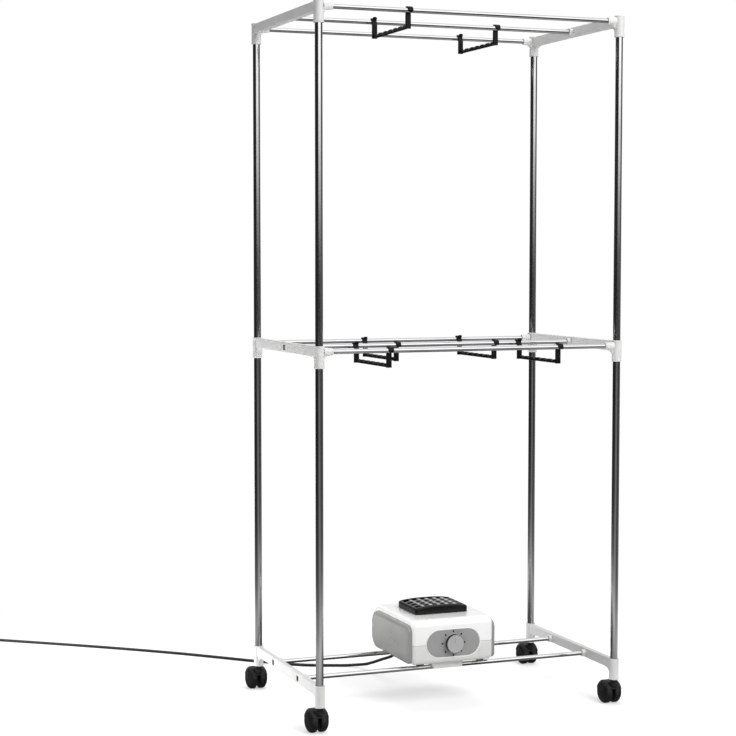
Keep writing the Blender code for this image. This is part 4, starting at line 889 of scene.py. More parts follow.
def hook_clip():
    """The clip of a hook round a rail's axis, and its leg: a flat strap along an arc and a straight.

    The centre line is a circle half a wall outside the rail from 218 degrees over the top to nought,
    then it runs straight down. The strap's thickness grows smoothly from the clip's wall to the leg's.
    """
    radius = RAIL_BORE + CLIP_WALL / 2
    angle = np.radians(np.linspace(218.0, 0.0, 40))
    arc = np.column_stack([radius * np.cos(angle), radius * np.sin(angle)])
    drop = np.linspace(0.0, 1.0, 26)[1:]
    leg = np.column_stack([np.full(25, radius), -LEG_DROP * drop])
    grown = np.clip(drop * 5.0, 0.0, 1.0)
    grown = np.concatenate([np.zeros(40), grown**2 * (3 - 2 * grown)])
    thick = CLIP_WALL + (LEG_THICKNESS - CLIP_WALL) * grown
    line = np.vstack([arc, leg])
    line[:, 0] += (thick - CLIP_WALL) / 2
    ends = np.minimum(1.0, 0.55 + 0.45 * np.sin(np.clip(np.arange(65) / 4.0, 0.0, 1.0) * math.pi / 2))
    path = np.column_stack([np.zeros(65), line])
    half = np.stack([thick / 2 * ends, HOOK_HALF_WIDTH * ends], axis=-1)
    corner = np.minimum(half.min(axis=1), 0.0011)
    angles = np.concatenate([np.radians(np.linspace(0.0, 90.0, 5)) + math.pi / 2 * k for k in range(4)])
    sign_x = np.repeat([1.0, -1.0, -1.0, 1.0], 5)
    sign_y = np.repeat([1.0, 1.0, -1.0, -1.0], 5)
    section = np.stack([
        sign_x * (half[:, :1] - corner[:, None]) + corner[:, None] * np.cos(angles),
        sign_y * (half[:, 1:] - corner[:, None]) + corner[:, None] * np.sin(angles),
    ], axis=-1)
    return carried(section, path, rightward)


def hook_tab():
    """The thumb tab: a tapered tongue that leans outwards from the clip's shoulder."""
    along = np.linspace(0.0, 1.0, 12)
    path = np.column_stack([
        np.zeros(12), RAIL_BORE + 0.0022 + 0.0042 * along, RAIL_BORE - 0.0016 + 0.0062 * along
    ])
    taper = np.sqrt(np.clip(1.0 - (along / 1.02) ** 6, 0.05, 1.0))
    section = rounded_loop(0.0010, HOOK_HALF_WIDTH - 0.0004, 0.0007, 4)[None] * taper[:, None, None]
    return carried(section, path, rightward)


def hook_bar(pitch):
    """The bar between two legs: a rounded section whose top dips by a triangle wave at each notch."""
    start = RAIL_BORE + LEG_THICKNESS / 2
    y = np.linspace(start, pitch - start, 181)
    centres = pitch / 2 + (np.arange(NOTCH_COUNT) - (NOTCH_COUNT - 1) / 2) * NOTCH_PITCH
    nearest = np.abs(y[:, None] - centres).min(axis=1)
    dip = NOTCH_DEPTH * np.clip(1.0 - nearest / NOTCH_HALF, 0.0, 1.0)
    section = rounded_loop(HOOK_BAR_HALF_WIDTH, HOOK_BAR_HEIGHT / 2, HOOK_BAR_ROUND, 4)
    z = section[:, 1] - dip[:, None] * (section[:, 1] > 0)
    x = np.broadcast_to(section[:, 0], z.shape)
    rings = np.stack([x, np.broadcast_to(y[:, None], z.shape), z], axis=-1)
    return rings + [0.0, 0.0, HOOK_BAR_LIFT - LEG_DROP + HOOK_BAR_HEIGHT / 2]


HOOK_PLASTIC = moulded(
    "hook_black", (0.004, 0.004, 0.004), (0.007, 0.007, 0.007), (0.025, 0.025, 0.026), (0.30, 0.44),
    drift_scale=60.0, grain=(1500.0, 0.00005), dust=0.03, shine=0.14,
)
for name in HOOK_NAMES:
    low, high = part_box(name)
    tier = name.split("_")[1]
    rail_low, rail_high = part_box(f"rail_{tier}_front")
    rail_z = (rail_low.z + rail_high.z) / 2
    pitch = rack_half_y
    near_y = rack_middle_y - rack_half_y if (low.y + high.y) / 2 < rack_middle_y else rack_middle_y
    skins = []
    for shape in (hook_clip(), hook_tab()):
        skins.append((shape, False))
        skins.append((shape * [1.0, -1.0, 1.0] + [0.0, pitch, 0.0], False))
    skins.append((hook_bar(pitch), False))
    mesh = closed_mesh(f"hanger_{name}", skins)
    mesh.transform(Matrix.Translation(((low.x + high.x) / 2, near_y, rail_z)))
    piece(f"hanger_{name}", mesh, HOOK_PLASTIC, name, [name])

# Casters
# Four black twin-wheel casters. A web between the wheels carries the axle, a hood covers their tops and
# a hub with a steel stem turns in the sleeve's foot. The wheels are domed, so each caster looks a ball.
CASTER_TRAIL = 0.020
WHEEL_INNER = 0.004
WHEEL_OUTER = 0.0245
AXLE_REACH = 0.0215
AXLE_BORE = 0.0033
HOOD_CLEARANCE = 0.0010
HOOD_WALL = 0.0015
HOOD_HALF = 0.0222
DOME_DEPTH = 0.0120
CASTER_WEB_HALF = 0.0035
HUB_RADIUS = 0.0078
HUB_DROP = 0.0150


def wheel_profile(radius):
    """A wheel's profile from the axis: a domed outer face with a ring groove, a tread, a flat inside.

    The dome is an ellipse: at a share r of the radius it stands back by its depth times one less
    the root of 1 - r².
    """
    share = np.linspace(0.0, 1.0, 22)
    dome = WHEEL_OUTER - DOME_DEPTH * (1.0 - np.sqrt(1.0 - (0.995 * share) ** 2))
    groove = 0.0007 * np.exp(-(((share - 0.62) / 0.028) ** 2))
    groove = groove + 0.0005 * np.exp(-(((share - 0.24) / 0.03) ** 2))
    face = np.column_stack([radius * share, dome - groove])
    return np.vstack([
        face,
        [(radius, WHEEL_INNER + 0.0022), (radius - 0.0006, WHEEL_INNER + 0.0008)],
        [(radius - 0.0020, WHEEL_INNER), (AXLE_BORE, WHEEL_INNER), (AXLE_BORE, AXLE_REACH + SEAT_GAP)],
        [(0.0, AXLE_REACH + SEAT_GAP)],
    ])


def hood_rings(radius):
    """The hood: its section follows the wheels' domes, and an arc about the axle carries it.

    Across, the outer radius is that of the wheel's ellipse at the same distance from the middle,
    plus clearance and wall; the inner surface lies one wall inside it.
    """
    across = np.sin(np.linspace(-math.pi / 2, math.pi / 2, 41))
    back = np.clip((WHEEL_OUTER - np.abs(across) * HOOD_HALF) / DOME_DEPTH, 0.0, 1.0)
    outer = radius * np.sqrt(1.0 - (1.0 - back) ** 2) + HOOD_CLEARANCE + HOOD_WALL
    shell = np.vstack([
        np.column_stack([across * HOOD_HALF, outer]),
        np.column_stack([across[::-1] * (HOOD_HALF - 0.0006), outer[::-1] - HOOD_WALL]),
    ])
    angle = np.radians(np.linspace(24.0, 156.0, 48))[:, None]
    x = np.broadcast_to(shell[:, 0], (48, len(shell)))
    return np.stack([x, shell[:, 1] * np.cos(angle), shell[:, 1] * np.sin(angle)], axis=-1)


def web_plate(radius):
    """The web: the outline of the hood's sector and the axle's boss, with its two rims rounded."""
    crown = np.radians(np.linspace(28.0, 152.0, 30))
    boss = np.radians(np.linspace(180.0, 360.0, 20))
    reach = radius + HOOD_CLEARANCE
    outline = np.vstack([
        reach * np.column_stack([np.cos(crown), np.sin(crown)]),
        0.0065 * np.column_stack([np.cos(boss), np.sin(boss)]),
    ])
    heart = np.array([0.0, 0.011])
    x = np.array([-1.0, -0.86, 0.86, 1.0]) * CASTER_WEB_HALF
    share = np.array([0.965, 1.0, 1.0, 0.965])[:, None, None]
    flat = heart + share * (outline - heart)
    return np.concatenate([np.broadcast_to(x[:, None, None], (4, len(outline), 1)), flat], axis=-1)


def finish_node(name, material):
    """A CAD node shown as it is, in a material of its own."""
    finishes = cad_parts[name].data.materials
    finishes.clear()
    finishes.append(material)


CASTER_PLASTIC = moulded(
    "caster_black", (0.005, 0.005, 0.005), (0.008, 0.008, 0.008), (0.03, 0.03, 0.03), (0.30, 0.46),
    drift_scale=70.0, grain=(1300.0, 0.00005), dust=0.05, shine=0.20,
)
WHEEL_PLASTIC = moulded(
    "wheel_black", (0.007, 0.007, 0.007), (0.014, 0.014, 0.013), (0.04, 0.04, 0.04), (0.38, 0.56),
    drift_scale=90.0, grain=(900.0, 0.00008), dust=0.08, shine=0.25,
)
STEM_STEEL = plated("stem_steel", (0.52, 0.52, 0.53), (0.28, 0.42), (600.0, 600.0, 600.0), 0.00002)
for end in ENDS:
    for side in SIDES:
        corner = f"{end}_{side}"
        low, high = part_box(f"caster_axle_{corner}")
        axle = np.array([(low.x + high.x) / 2, (low.y + high.y) / 2, (low.z + high.z) / 2])
        stem_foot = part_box(f"side_beam_bottom_{side}")[0].z
        wheel_radius = axle[2]
        for place, outward in (("outer", 1.0), ("inner", -1.0)):
            direction = outward * (1.0 if side == "right" else -1.0)
            rings = placed(turned(wheel_profile(wheel_radius), 72), ALONG_X) * [direction, 1.0, 1.0]
            node_name = f"wheel_{corner}_{place}"
            mesh = closed_mesh(f"roller_{corner}_{place}", [(rings + axle, False)])
            piece(
                f"roller_{corner}_{place}", mesh, WHEEL_PLASTIC, node_name, [node_name]
            )
        hub_top = stem_foot - SEAT_GAP
        hub = turned(
            [
                (0.0, hub_top),
                (HUB_RADIUS - 0.0007, hub_top),
                (HUB_RADIUS, hub_top - 0.0007),
                (HUB_RADIUS, hub_top - 0.0030),
                (HUB_RADIUS - 0.0006, hub_top - 0.0034),
                (HUB_RADIUS - 0.0006, hub_top - 0.0044),
                (HUB_RADIUS, hub_top - 0.0048),
                (HUB_RADIUS, hub_top - HUB_DROP),
                (0.0, hub_top - HUB_DROP),
            ],
            40,
        )
        hub = hub + [axle[0], axle[1] - CASTER_TRAIL, 0.0]
        skins = [
            (hood_rings(wheel_radius + 0.0004) + axle, False),
            (web_plate(wheel_radius) + axle, False),
            (hub, False),
        ]
        piece(
            f"caster_hood_{corner}", closed_mesh(f"caster_hood_{corner}", skins), CASTER_PLASTIC,
            f"caster_{corner}", [f"caster_body_{corner}"],
        )
        stem = turned(
            [
                (0.0, hub_top - 0.002),
                (0.004, hub_top - 0.002),
                (0.004, stem_foot + STEM_BORE_DEPTH - 0.0012),
                (0.0032, stem_foot + STEM_BORE_DEPTH - SEAT_GAP),
                (0.0, stem_foot + STEM_BORE_DEPTH - SEAT_GAP),
            ],
            32,
        )
        stem = stem + [axle[0], axle[1] - CASTER_TRAIL, 0.0]
        piece(
            f"caster_stem_{corner}", closed_mesh(f"caster_stem_{corner}", [(stem, False)]), STEM_STEEL,
            f"caster_{corner}",
        )
        finish_node(f"caster_axle_{corner}", STEM_STEEL)

# Heater casing
# Two glossy white injection-moulded shells that meet at a seam low on the front, held by screws from
# below. Two saddle feet under the lower one ride on the bottom rails.
casing_low, casing_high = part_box("lower_casing")
HEATER_X = (casing_low.x + casing_high.x) / 2
CASING_HALF = (casing_high.x - casing_low.x) / 2
CASING_FRONT = casing_low.y
CASING_BACK = casing_high.y
CASING_BOTTOM = 0.102
CASING_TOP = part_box("upper_casing")[1].z
CASING_SEAM = 0.145
CASING_WALL = 0.0025
CASING_END_ROUND = 0.008
CASING_CORNERS = (0.012, 0.030, 0.030, 0.016)
SEAM_ROUND = 0.0010
FOOT_HALF_LENGTH = 0.034
FOOT_HALF_WIDTH = 0.016
FOOT_BELOW_RAIL = 0.002
FOOT_SHIFT = -0.004


def casing_outline(low, high, insets, steps):
    """The casing's outline seen from its end, once for each inset.

    Each corner is a quarter circle whose radius is the corner's own less the inset, about a point
    that stays put until the inset passes that radius and then moves inwards with it.
    """
    quarter = np.radians(np.linspace(0.0, 90.0, steps))
    insets = np.reshape(insets, (-1, 1, 1))
    radii = np.reshape(CASING_CORNERS, (1, 4, 1))
    start = np.radians([180.0, 270.0, 0.0, 90.0]).reshape(1, 4, 1)
    inward_y = np.reshape([1.0, -1.0, -1.0, 1.0], (1, 4, 1))
    inward_z = np.reshape([1.0, 1.0, -1.0, -1.0], (1, 4, 1))
    corner_y = np.reshape([low[0], high[0], high[0], low[0]], (1, 4, 1))
    corner_z = np.reshape([low[1], low[1], high[1], high[1]], (1, 4, 1))
    middle = np.maximum(radii, insets)
    radius = np.maximum(radii - insets, 0.0)
    y = corner_y + inward_y * middle + radius * np.cos(start + quarter)
    z = corner_z + inward_z * middle + radius * np.sin(start + quarter)
    return np.stack([y, z], axis=-1).reshape(len(insets), -1, 2)


def capped_rings(outlines, x):
    """Flat outlines set square to X, each at its own place along it."""
    place = np.broadcast_to(np.reshape(x, (-1, 1, 1)), (*outlines.shape[:2], 1))
    return np.concatenate([place, outlines], axis=-1)


def casing_skin():
    """The closed outer skin: the outline carried across, drawn in by a quarter circle at both ends."""
    turn = np.radians(np.linspace(0.0, 90.0, 10))
    x = CASING_HALF - CASING_END_ROUND * (1.0 - np.cos(turn))
    inset = CASING_END_ROUND * (1.0 - np.sin(turn))
    x = HEATER_X + np.concatenate([-x, x[::-1]])
    inset = np.concatenate([inset, inset[::-1]])
    outlines = casing_outline((CASING_FRONT, CASING_BOTTOM), (CASING_BACK, CASING_TOP), inset, 14)
    return closed_mesh("casing", [(capped_rings(outlines, x), False)])


def casing_half(above):
    """The part of the skin above or below the seam, given its wall, its rim rounded."""
    shape = bmesh.new()
    shape.from_mesh(casing_skin())
    gap = SEAT_GAP / 2 if above else -SEAT_GAP / 2
    bmesh.ops.bisect_plane(
        shape,
        geom=shape.verts[:] + shape.edges[:] + shape.faces[:],
        plane_co=(0.0, 0.0, CASING_SEAM + gap),
        plane_no=(0.0, 0.0, 1.0 if above else -1.0),
        clear_inner=True,
    )
    shell = bpy.data.objects.new("half", mesh_of(shape, "half"))
    bpy.context.scene.collection.objects.link(shell)
    wall = shell.modifiers.new("wall", "SOLIDIFY")
    wall.thickness = CASING_WALL
    wall.offset = -1.0
    wall.use_even_offset = True
    rim = shell.modifiers.new("rim", "BEVEL")
    rim.width = SEAM_ROUND
    rim.segments = 3
    rim.limit_method = "ANGLE"
    rim.angle_limit = math.radians(60.0)
    return shell


def box_cutter(low, high):
    """A plain box between two corners, as a tool for cutting."""
    shape = bmesh.new()
    low, high = np.array(low), np.array(high)
    move = Matrix.Translation(Vector((low + high) / 2)) @ Matrix.Diagonal((*(high - low), 1.0))
    bmesh.ops.create_cube(shape, size=1.0, matrix=move)
    return bpy.data.objects.new("box", mesh_of(shape, "box"))


def stadium(half_x, half_z, steps):
    """A rectangle with half-round ends: two half circles, their middles moved apart along X."""
    angle = np.radians(np.linspace(-90.0, 90.0, steps))
    right = np.column_stack([half_x - half_z + half_z * np.cos(angle), half_z * np.sin(angle)])
    return np.vstack([right, -right])


def facing_front(outlines, y, middle):
    """Flat outlines set square to Y round a middle, each at its own place along Y."""
    place = np.broadcast_to(np.reshape(y, (-1, 1)), outlines.shape[:2])
    return np.stack([outlines[..., 0] + middle[0], place, outlines[..., 1] + middle[1]], axis=-1)


def rounded_box(low, high, edge):
    """A box whose edges are all rounded: its section across X, drawn in by a quarter circle at both
    ends."""
    low, high = np.array(low), np.array(high)
    half = (high - low) / 2
    turn = np.radians(np.linspace(0.0, 90.0, 6))
    x = half[0] - edge * (1.0 - np.cos(turn))
    inset = edge * (1.0 - np.sin(turn))
    x = np.concatenate([-x, x[::-1]])
    inset = np.concatenate([inset, inset[::-1]])
    corner = np.radians(np.linspace(0.0, 90.0, 6))
    angles = np.concatenate([corner + math.pi / 2 * k for k in range(4)])
    sign_y = np.repeat([1.0, -1.0, -1.0, 1.0], 6)
    sign_z = np.repeat([1.0, 1.0, -1.0, -1.0], 6)
    radius = (edge - inset)[:, None]
    y = sign_y * (half[1] - edge) + radius * np.cos(angles)
    z = sign_z * (half[2] - edge) + radius * np.sin(angles)
    rings = np.stack([np.broadcast_to(x[:, None], y.shape), y, z], axis=-1)
    return rings + (low + high) / 2


PANEL_HALF = (0.062, 0.029)
PANEL_MIDDLE = (HEATER_X, CASING_BOTTOM + 0.044)
PANEL_RECESS = 0.0015
SHAFT_BORE = 0.0033


def front_tools():
    """Cutting tools for the panel's recess and for the timer's shaft hole."""
    depths = np.array([CASING_FRONT - 0.002, CASING_FRONT + PANEL_RECESS])
    recess = stadium(PANEL_HALF[0] + SEAT_GAP, PANEL_HALF[1] + SEAT_GAP, 24)
    recess = np.broadcast_to(recess, (2, 48, 2))
    hole_depths = np.array([CASING_FRONT - 0.002, CASING_FRONT + CASING_WALL + 0.002])
    hole = np.broadcast_to(circle(SHAFT_BORE, 24), (2, 24, 2))
    tools = []
    for shape, y in ((recess, depths), (hole, hole_depths)):
        mesh = closed_mesh("tool", [(facing_front(shape, y, PANEL_MIDDLE), False)])
        tools.append(bpy.data.objects.new("tool", mesh))
    return tools


# The lower shell is a darker copy of the casing's white: painted shade towards the bottom
LOWER_GLOSS_SHADED = moulded(
    "lower_gloss_painted_shade", (0.64, 0.64, 0.632), (0.61, 0.61, 0.60), (0.74, 0.74, 0.735), (0.18, 0.28),
    drift_scale=9.0, grain=(700.0, 0.00001), dust=0.06, edge=(0.56, 0.70), coat=0.35,
)
CASING_GLOSS = moulded(
    "casing_gloss", (0.84, 0.84, 0.835), (0.81, 0.81, 0.80), (0.87, 0.87, 0.865), (0.16, 0.26),
    drift_scale=9.0, grain=(700.0, 0.00001), dust=0.06, edge=(0.56, 0.70), coat=0.35,
)
grille_low, grille_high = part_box("outlet_grille")
grille_middle = np.array([(grille_low.x + grille_high.x) / 2, (grille_low.y + grille_high.y) / 2, 0.0])
outlet = box_cutter(
    grille_middle + [-0.050, -0.040, CASING_TOP - CASING_WALL - 0.002],
    grille_middle + [0.050, 0.040, CASING_TOP + 0.002],
)
upper_mesh = cut_out(casing_half(True), [*front_tools(), outlet])
piece("upper_shell", upper_mesh, CASING_GLOSS, "rack", ["upper_casing"], crease=30.0)

intakes = []
for sign in (-1.0, 1.0):
    for step in range(5):
        x = HEATER_X + sign * (0.030 + 0.009 * step)
        intakes.append(box_cutter(
            (x - 0.002, rack_middle_y - 0.017, CASING_BOTTOM - 0.002),
            (x + 0.002, rack_middle_y + 0.017, CASING_BOTTOM + CASING_WALL + 0.002),
        ))
gland_hole = placed(turned([(0.0053, -0.006), (0.0053, 0.004)], 32), gland_place)
gland_tool = bpy.data.objects.new("tool", closed_mesh("tool", [(gland_hole, False)]))
lower_shell = cut_out(casing_half(False), [*front_tools(), *intakes, gland_tool])
feet = []
for place in ("front", "back"):
    rail_low, rail_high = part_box(f"rail_bottom_{place}")
    rail = np.array(
        [HEATER_X + FOOT_SHIFT, (rail_low.y + rail_high.y) / 2, (rail_low.z + rail_high.z) / 2]
    )
    foot = closed_mesh("foot", [(rounded_box(
        rail + [-FOOT_HALF_LENGTH, -FOOT_HALF_WIDTH, -FOOT_BELOW_RAIL],
        [rail[0] + FOOT_HALF_LENGTH, rail[1] + FOOT_HALF_WIDTH, CASING_BOTTOM + CASING_WALL / 2],
        0.0020,
    ), False)])
    bend = np.radians(np.linspace(0.0, 180.0, 25))
    groove = RAIL_BORE * np.column_stack([np.cos(bend), np.sin(bend)])
    groove = np.vstack([groove, [(-RAIL_BORE, -0.006)], [(RAIL_BORE, -0.006)]])
    ends = np.array([-FOOT_HALF_LENGTH - 0.002, FOOT_HALF_LENGTH + 0.002])
    groove = capped_rings(np.broadcast_to(groove, (2, len(groove), 2)), ends) + rail
    base = bpy.data.objects.new("foot", foot)
    bpy.context.scene.collection.objects.link(base)
    feet.append(cut_out(base, [bpy.data.objects.new("tool", closed_mesh("tool", [(groove, False)]))]))
lower_mesh = joined([lower_shell, *feet], "lower_shell")
piece("lower_shell", lower_mesh, LOWER_GLOSS_SHADED, "rack", ["lower_casing"], crease=30.0)
# Two dark pads under the casing's front edge: painted shadow of the casing's underside on the bottom rails
for side, sign in (("left", -1.0), ("right", 1.0)):
    at_shadow_pad = np.array([HEATER_X + sign * 0.071, CASING_FRONT + 0.018, CASING_BOTTOM - 0.0020])
    pad = rounded_box(at_shadow_pad - [0.0075, 0.0050, 0.0020], at_shadow_pad + [0.0075, 0.0050, 0.0020], 0.0008)
    shadow_pad_mesh = closed_mesh(f"pad_{side}", [(pad, False)])
    piece(f"shadow_pad_{side}", shadow_pad_mesh, STOP_RUBBER_AND_SHADE, "rack")

# Side covers
# Grey satin lids snapped onto the casing's ends. Each is a shallow shell with an upright wall, a
# rounded border and a nearly flat face.
COVER_WALL = 0.002
COVER_BORDER = 0.0100
COVER_RISE = 0.0098
COVER_STEP = 0.0038
COVER_DISH = 0.0004
GREY_PLASTIC = moulded(
    "cover_grey", (0.262, 0.262, 0.257), (0.242, 0.242, 0.237), (0.33, 0.33, 0.32), (0.20, 0.28),
    drift_scale=18.0, grain=(1100.0, 0.00007), dust=0.10,
)
for side, sign in (("left", -1.0), ("right", 1.0)):
    low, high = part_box(f"{side}_cover")
    turn = np.radians(np.linspace(0.0, 90.0, 16))
    lift = COVER_STEP + (COVER_RISE - COVER_DISH - COVER_STEP) * np.sin(turn)
    border = 0.0003 + COVER_BORDER * (1.0 - np.cos(turn))
    outer_inset = np.concatenate([[0.0, 0.0003], border, [COVER_BORDER + 0.012, COVER_BORDER + 0.022]])
    outer_lift = np.concatenate([[0.0, 0.0006], lift, [COVER_RISE - COVER_DISH / 4, COVER_RISE]])
    inner_inset = outer_inset[::-1] + COVER_WALL
    inner_lift = np.maximum(outer_lift[::-1] - COVER_WALL, 0.0)
    inset = np.concatenate([outer_inset[::-1], inner_inset[::-1]])
    out = np.concatenate([outer_lift[::-1], inner_lift[::-1]])
    outlines = casing_outline((low.y, low.z), (high.y, high.z), inset, 12)
    base_x = low.x if side == "right" else high.x
    rings = capped_rings(outlines, base_x + sign * out)
    mesh = closed_mesh(f"lid_{side}", [(rings, False)])
    piece(f"lid_{side}", mesh, GREY_PLASTIC, "rack", [f"{side}_cover"], crease=50.0)

# Control panel
# A grey stadium-shaped plate set into the front, inside a raised white bead, with plain dial marks
# printed round the timer knob.
panel_low, panel_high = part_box("control_panel")
PANEL_FRONT = panel_low.y
PANEL_BACK = panel_high.y
PANEL_PLASTIC = moulded(
    "panel_grey", (0.290, 0.290, 0.290), (0.270, 0.270, 0.270), (0.36, 0.36, 0.36), (0.34, 0.46),
    drift_scale=30.0, grain=(1300.0, 0.00006), dust=0.04,
)


def panel_ring(inset, share):
    """An outline between the shaft's hole and the panel's rim, at a share of the way outwards."""
    rim = stadium(PANEL_HALF[0] - inset, PANEL_HALF[1] - inset, 40)
    around = np.unwrap(np.arctan2(rim[:, 1], rim[:, 0]))
    bore = SHAFT_BORE * np.column_stack([np.cos(around), np.sin(around)])
    return (1.0 - share) * bore + share * rim


panel_outlines = np.stack([
    panel_ring(0.0, 0.0), panel_ring(0.0012, 0.5), panel_ring(0.0012, 1.0), panel_ring(0.0004, 1.0),
    panel_ring(0.0, 1.0), panel_ring(0.0, 1.0), panel_ring(0.0, 0.5), panel_ring(0.0, 0.0),
])
panel_y = np.array([
    PANEL_FRONT, PANEL_FRONT, PANEL_FRONT, PANEL_FRONT + 0.0001, PANEL_FRONT + 0.0005, PANEL_BACK,
    PANEL_BACK, PANEL_BACK,
])
panel_mesh = closed_mesh("dial_plate", [(facing_front(panel_outlines, panel_y, PANEL_MIDDLE), True)])
piece("dial_plate", panel_mesh, PANEL_PLASTIC, "rack", ["control_panel"])
bead_line = stadium(PANEL_HALF[0] + 0.0017, PANEL_HALF[1] + 0.0017, 48)
bead_line = facing_front(bead_line[None], [CASING_FRONT - 0.0001], PANEL_MIDDLE)[0]
bead = carried(circle(0.0012, 12), bead_line, np.array([0.0, 1.0, 0.0]), loop=True)
piece("panel_bead", closed_mesh("panel_bead", [(bead, True)]), CASING_GLOSS, "rack")
MARK_RADIUS = 0.0262
MARK_INK = moulded(
    "mark_ink", (0.008, 0.008, 0.008), (0.012, 0.012, 0.012), (0.02, 0.02, 0.02), (0.5, 0.6),
    grain=(2000.0, 0.00002), dust=0.0, shine=0.2,
)
marks = []
for step in range(8):
    turn = math.radians(45.0 * step)
    out = np.array([math.cos(turn), 0.0, math.sin(turn)])
    across = np.array([-math.sin(turn), 0.0, math.cos(turn)])
    centre = np.array([PANEL_MIDDLE[0], PANEL_FRONT - 0.00004, PANEL_MIDDLE[1]]) + out * MARK_RADIUS
    shape = rounded_loop(0.0023, 0.0018, 0.0017, 5)
    place = axes_at(centre, out, across, np.array([0.0, -1.0, 0.0]))
    ring = np.concatenate([
        np.broadcast_to(shape, (2, len(shape), 2)),
        np.broadcast_to(np.array([-0.00004, 0.00006]).reshape(2, 1, 1), (2, len(shape), 1)),
    ], axis=-1)
    marks.append((placed(ring, place), False))
piece("dial_marks", closed_mesh("dial_marks", marks), MARK_INK, "rack")

# Timer knob
# A grey push-on cap with a turned rim painted paler as a highlight, and a raised pointer bar on its face.
# A darker fluted rubber sleeve round it is the grip, its dark partly painted shade of its flank and flutes.
knob_low, knob_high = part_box("timer_knob")
KNOB_RADIUS = (knob_high.x - knob_low.x) / 2
KNOB_DEPTH = knob_high.y - knob_low.y
KNOB_PLASTIC = moulded(
    "knob_grey", (0.370, 0.370, 0.368), (0.350, 0.350, 0.348), (0.54, 0.54, 0.53), (0.28, 0.40),
    drift_scale=50.0, grain=(1500.0, 0.00004), dust=0.05,
)
knob_profile = np.array([
    (0.0, 0.9640), (0.60, 0.9640), (0.78, 0.9700), (0.84, 0.9860), (0.88, 1.0), (0.902, 0.998),
    (0.918, 0.985), (0.924, 0.965), (0.924, 0.20), (0.965, 0.20), (0.990, 0.17), (1.0, 0.13),
    (1.0, 0.02), (0.992, 0.0),
]) * [KNOB_RADIUS, KNOB_DEPTH]
knob_profile = np.vstack([knob_profile, [(SHAFT_BORE, 0.0), (SHAFT_BORE, 0.007), (0.0, 0.007)]])
sleeve_ring = np.array([
    (0.928, 0.23), (0.972, 0.23), (0.972, 0.60), (0.966, 0.86), (0.958, 0.91), (0.944, 0.93),
    (0.928, 0.93),
]) * [KNOB_RADIUS, KNOB_DEPTH]
sleeve_flutes = np.array([0.0, 0.035, 0.035, 0.035, 0.030, 0.0, 0.0])
knob_place = axes_at(
    np.array([HEATER_X, knob_high.y, PANEL_MIDDLE[1]]), rightward, upright, -backward
)
knob_rings = placed(turned(knob_profile, 180), knob_place)
sleeve_rings = placed(turned(sleeve_ring, 180, flutes=30, depth=sleeve_flutes), knob_place)
pointer = rounded_box(
    (-0.0011, 0.0020, KNOB_DEPTH * 0.955),
    (0.0011, KNOB_RADIUS * 0.80, KNOB_DEPTH * 0.955 + 0.0012),
    0.0004,
)
knob_skins = [(knob_rings, False), (placed(pointer, knob_place), False)]
piece(
    "dial_knob", closed_mesh("dial_knob", knob_skins), KNOB_PLASTIC, "timer_knob",
    ["timer_knob"],
)
# The grip's near-black is partly the rubber's own colour and partly painted shade of the knob's flank and
# flutes
GRIP_RUBBER_AND_SHADE = moulded(
    "grip_rubber_and_shade", (0.020, 0.020, 0.020), (0.016, 0.016, 0.016), (0.04, 0.04, 0.04), (0.5, 0.6),
    dust=0.03, shine=0.3,
)
sleeve_mesh = closed_mesh("knob_sleeve", [(sleeve_rings, True)])
piece("knob_sleeve", sleeve_mesh, GRIP_RUBBER_AND_SHADE, "timer_knob")

# Outlet grille
# A black arched lattice over the way out of the warm air: a skirt with rounded shoulders, flat-topped
# slats from front to back, and thin ribs across that stand a little proud of them.
GRILLE_HALF = ((grille_high.x - grille_low.x) / 2, (grille_high.y - grille_low.y) / 2)
GRILLE_CROWN = 0.0190
GRILLE_FALL = 0.0050
GRILLE_WALL = 0.002
GRILLE_BORDER = (0.0045, 0.0075)
GRILLE_ROUND = 0.0040
GRILLE_FOOT = grille_low.z


def arch(x):
    """Height of the arch over the casing: the crown less a cube of the distance along it."""
    return GRILLE_CROWN - GRILLE_FALL * np.abs(x / GRILLE_HALF[0]) ** 3


def grille_frame():
    """The skirt and the border: rings from the skirt's foot up, over the shoulder and in to the
    opening, then back down its inner side. Each ring's height follows the arch."""
    turn = np.radians(np.linspace(0.0, 90.0, 8))
    inset = np.concatenate([
        [0.0, 0.0], GRILLE_ROUND * (1.0 - np.cos(turn))[1:], [GRILLE_BORDER[0]],
        [GRILLE_BORDER[0], GRILLE_WALL + 0.0012, GRILLE_WALL, GRILLE_WALL],
    ])
    drop = np.concatenate([
        [1.0, GRILLE_ROUND], GRILLE_ROUND * (1.0 - np.sin(turn))[1:], [0.0],
        [GRILLE_WALL, GRILLE_WALL, GRILLE_WALL + 0.0012, 1.0],
    ])
    rings = []
    for inwards, below in zip(inset, drop):
        widen = np.clip(inwards / GRILLE_BORDER[0], 0.0, 1.0) ** 2
        widen = (GRILLE_BORDER[1] - GRILLE_BORDER[0]) * widen
        corner = max(0.0042 - inwards, 0.0006)
        loop = rounded_loop(GRILLE_HALF[0] - inwards, GRILLE_HALF[1] - inwards - widen, corner, 6)
        sides = []
        for a, b in zip(loop, np.roll(loop, -1, axis=0)):
            count = 14 if np.linalg.norm(b - a) > 0.02 else 1
            sides.append(a + (b - a) * np.linspace(0.0, 1.0, count, endpoint=False)[:, None])
        loop = np.vstack(sides)
        height = np.zeros(len(loop)) if below == 1.0 else arch(loop[:, 0]) - below
        rings.append(np.column_stack([loop, height]))
    return np.stack(rings)


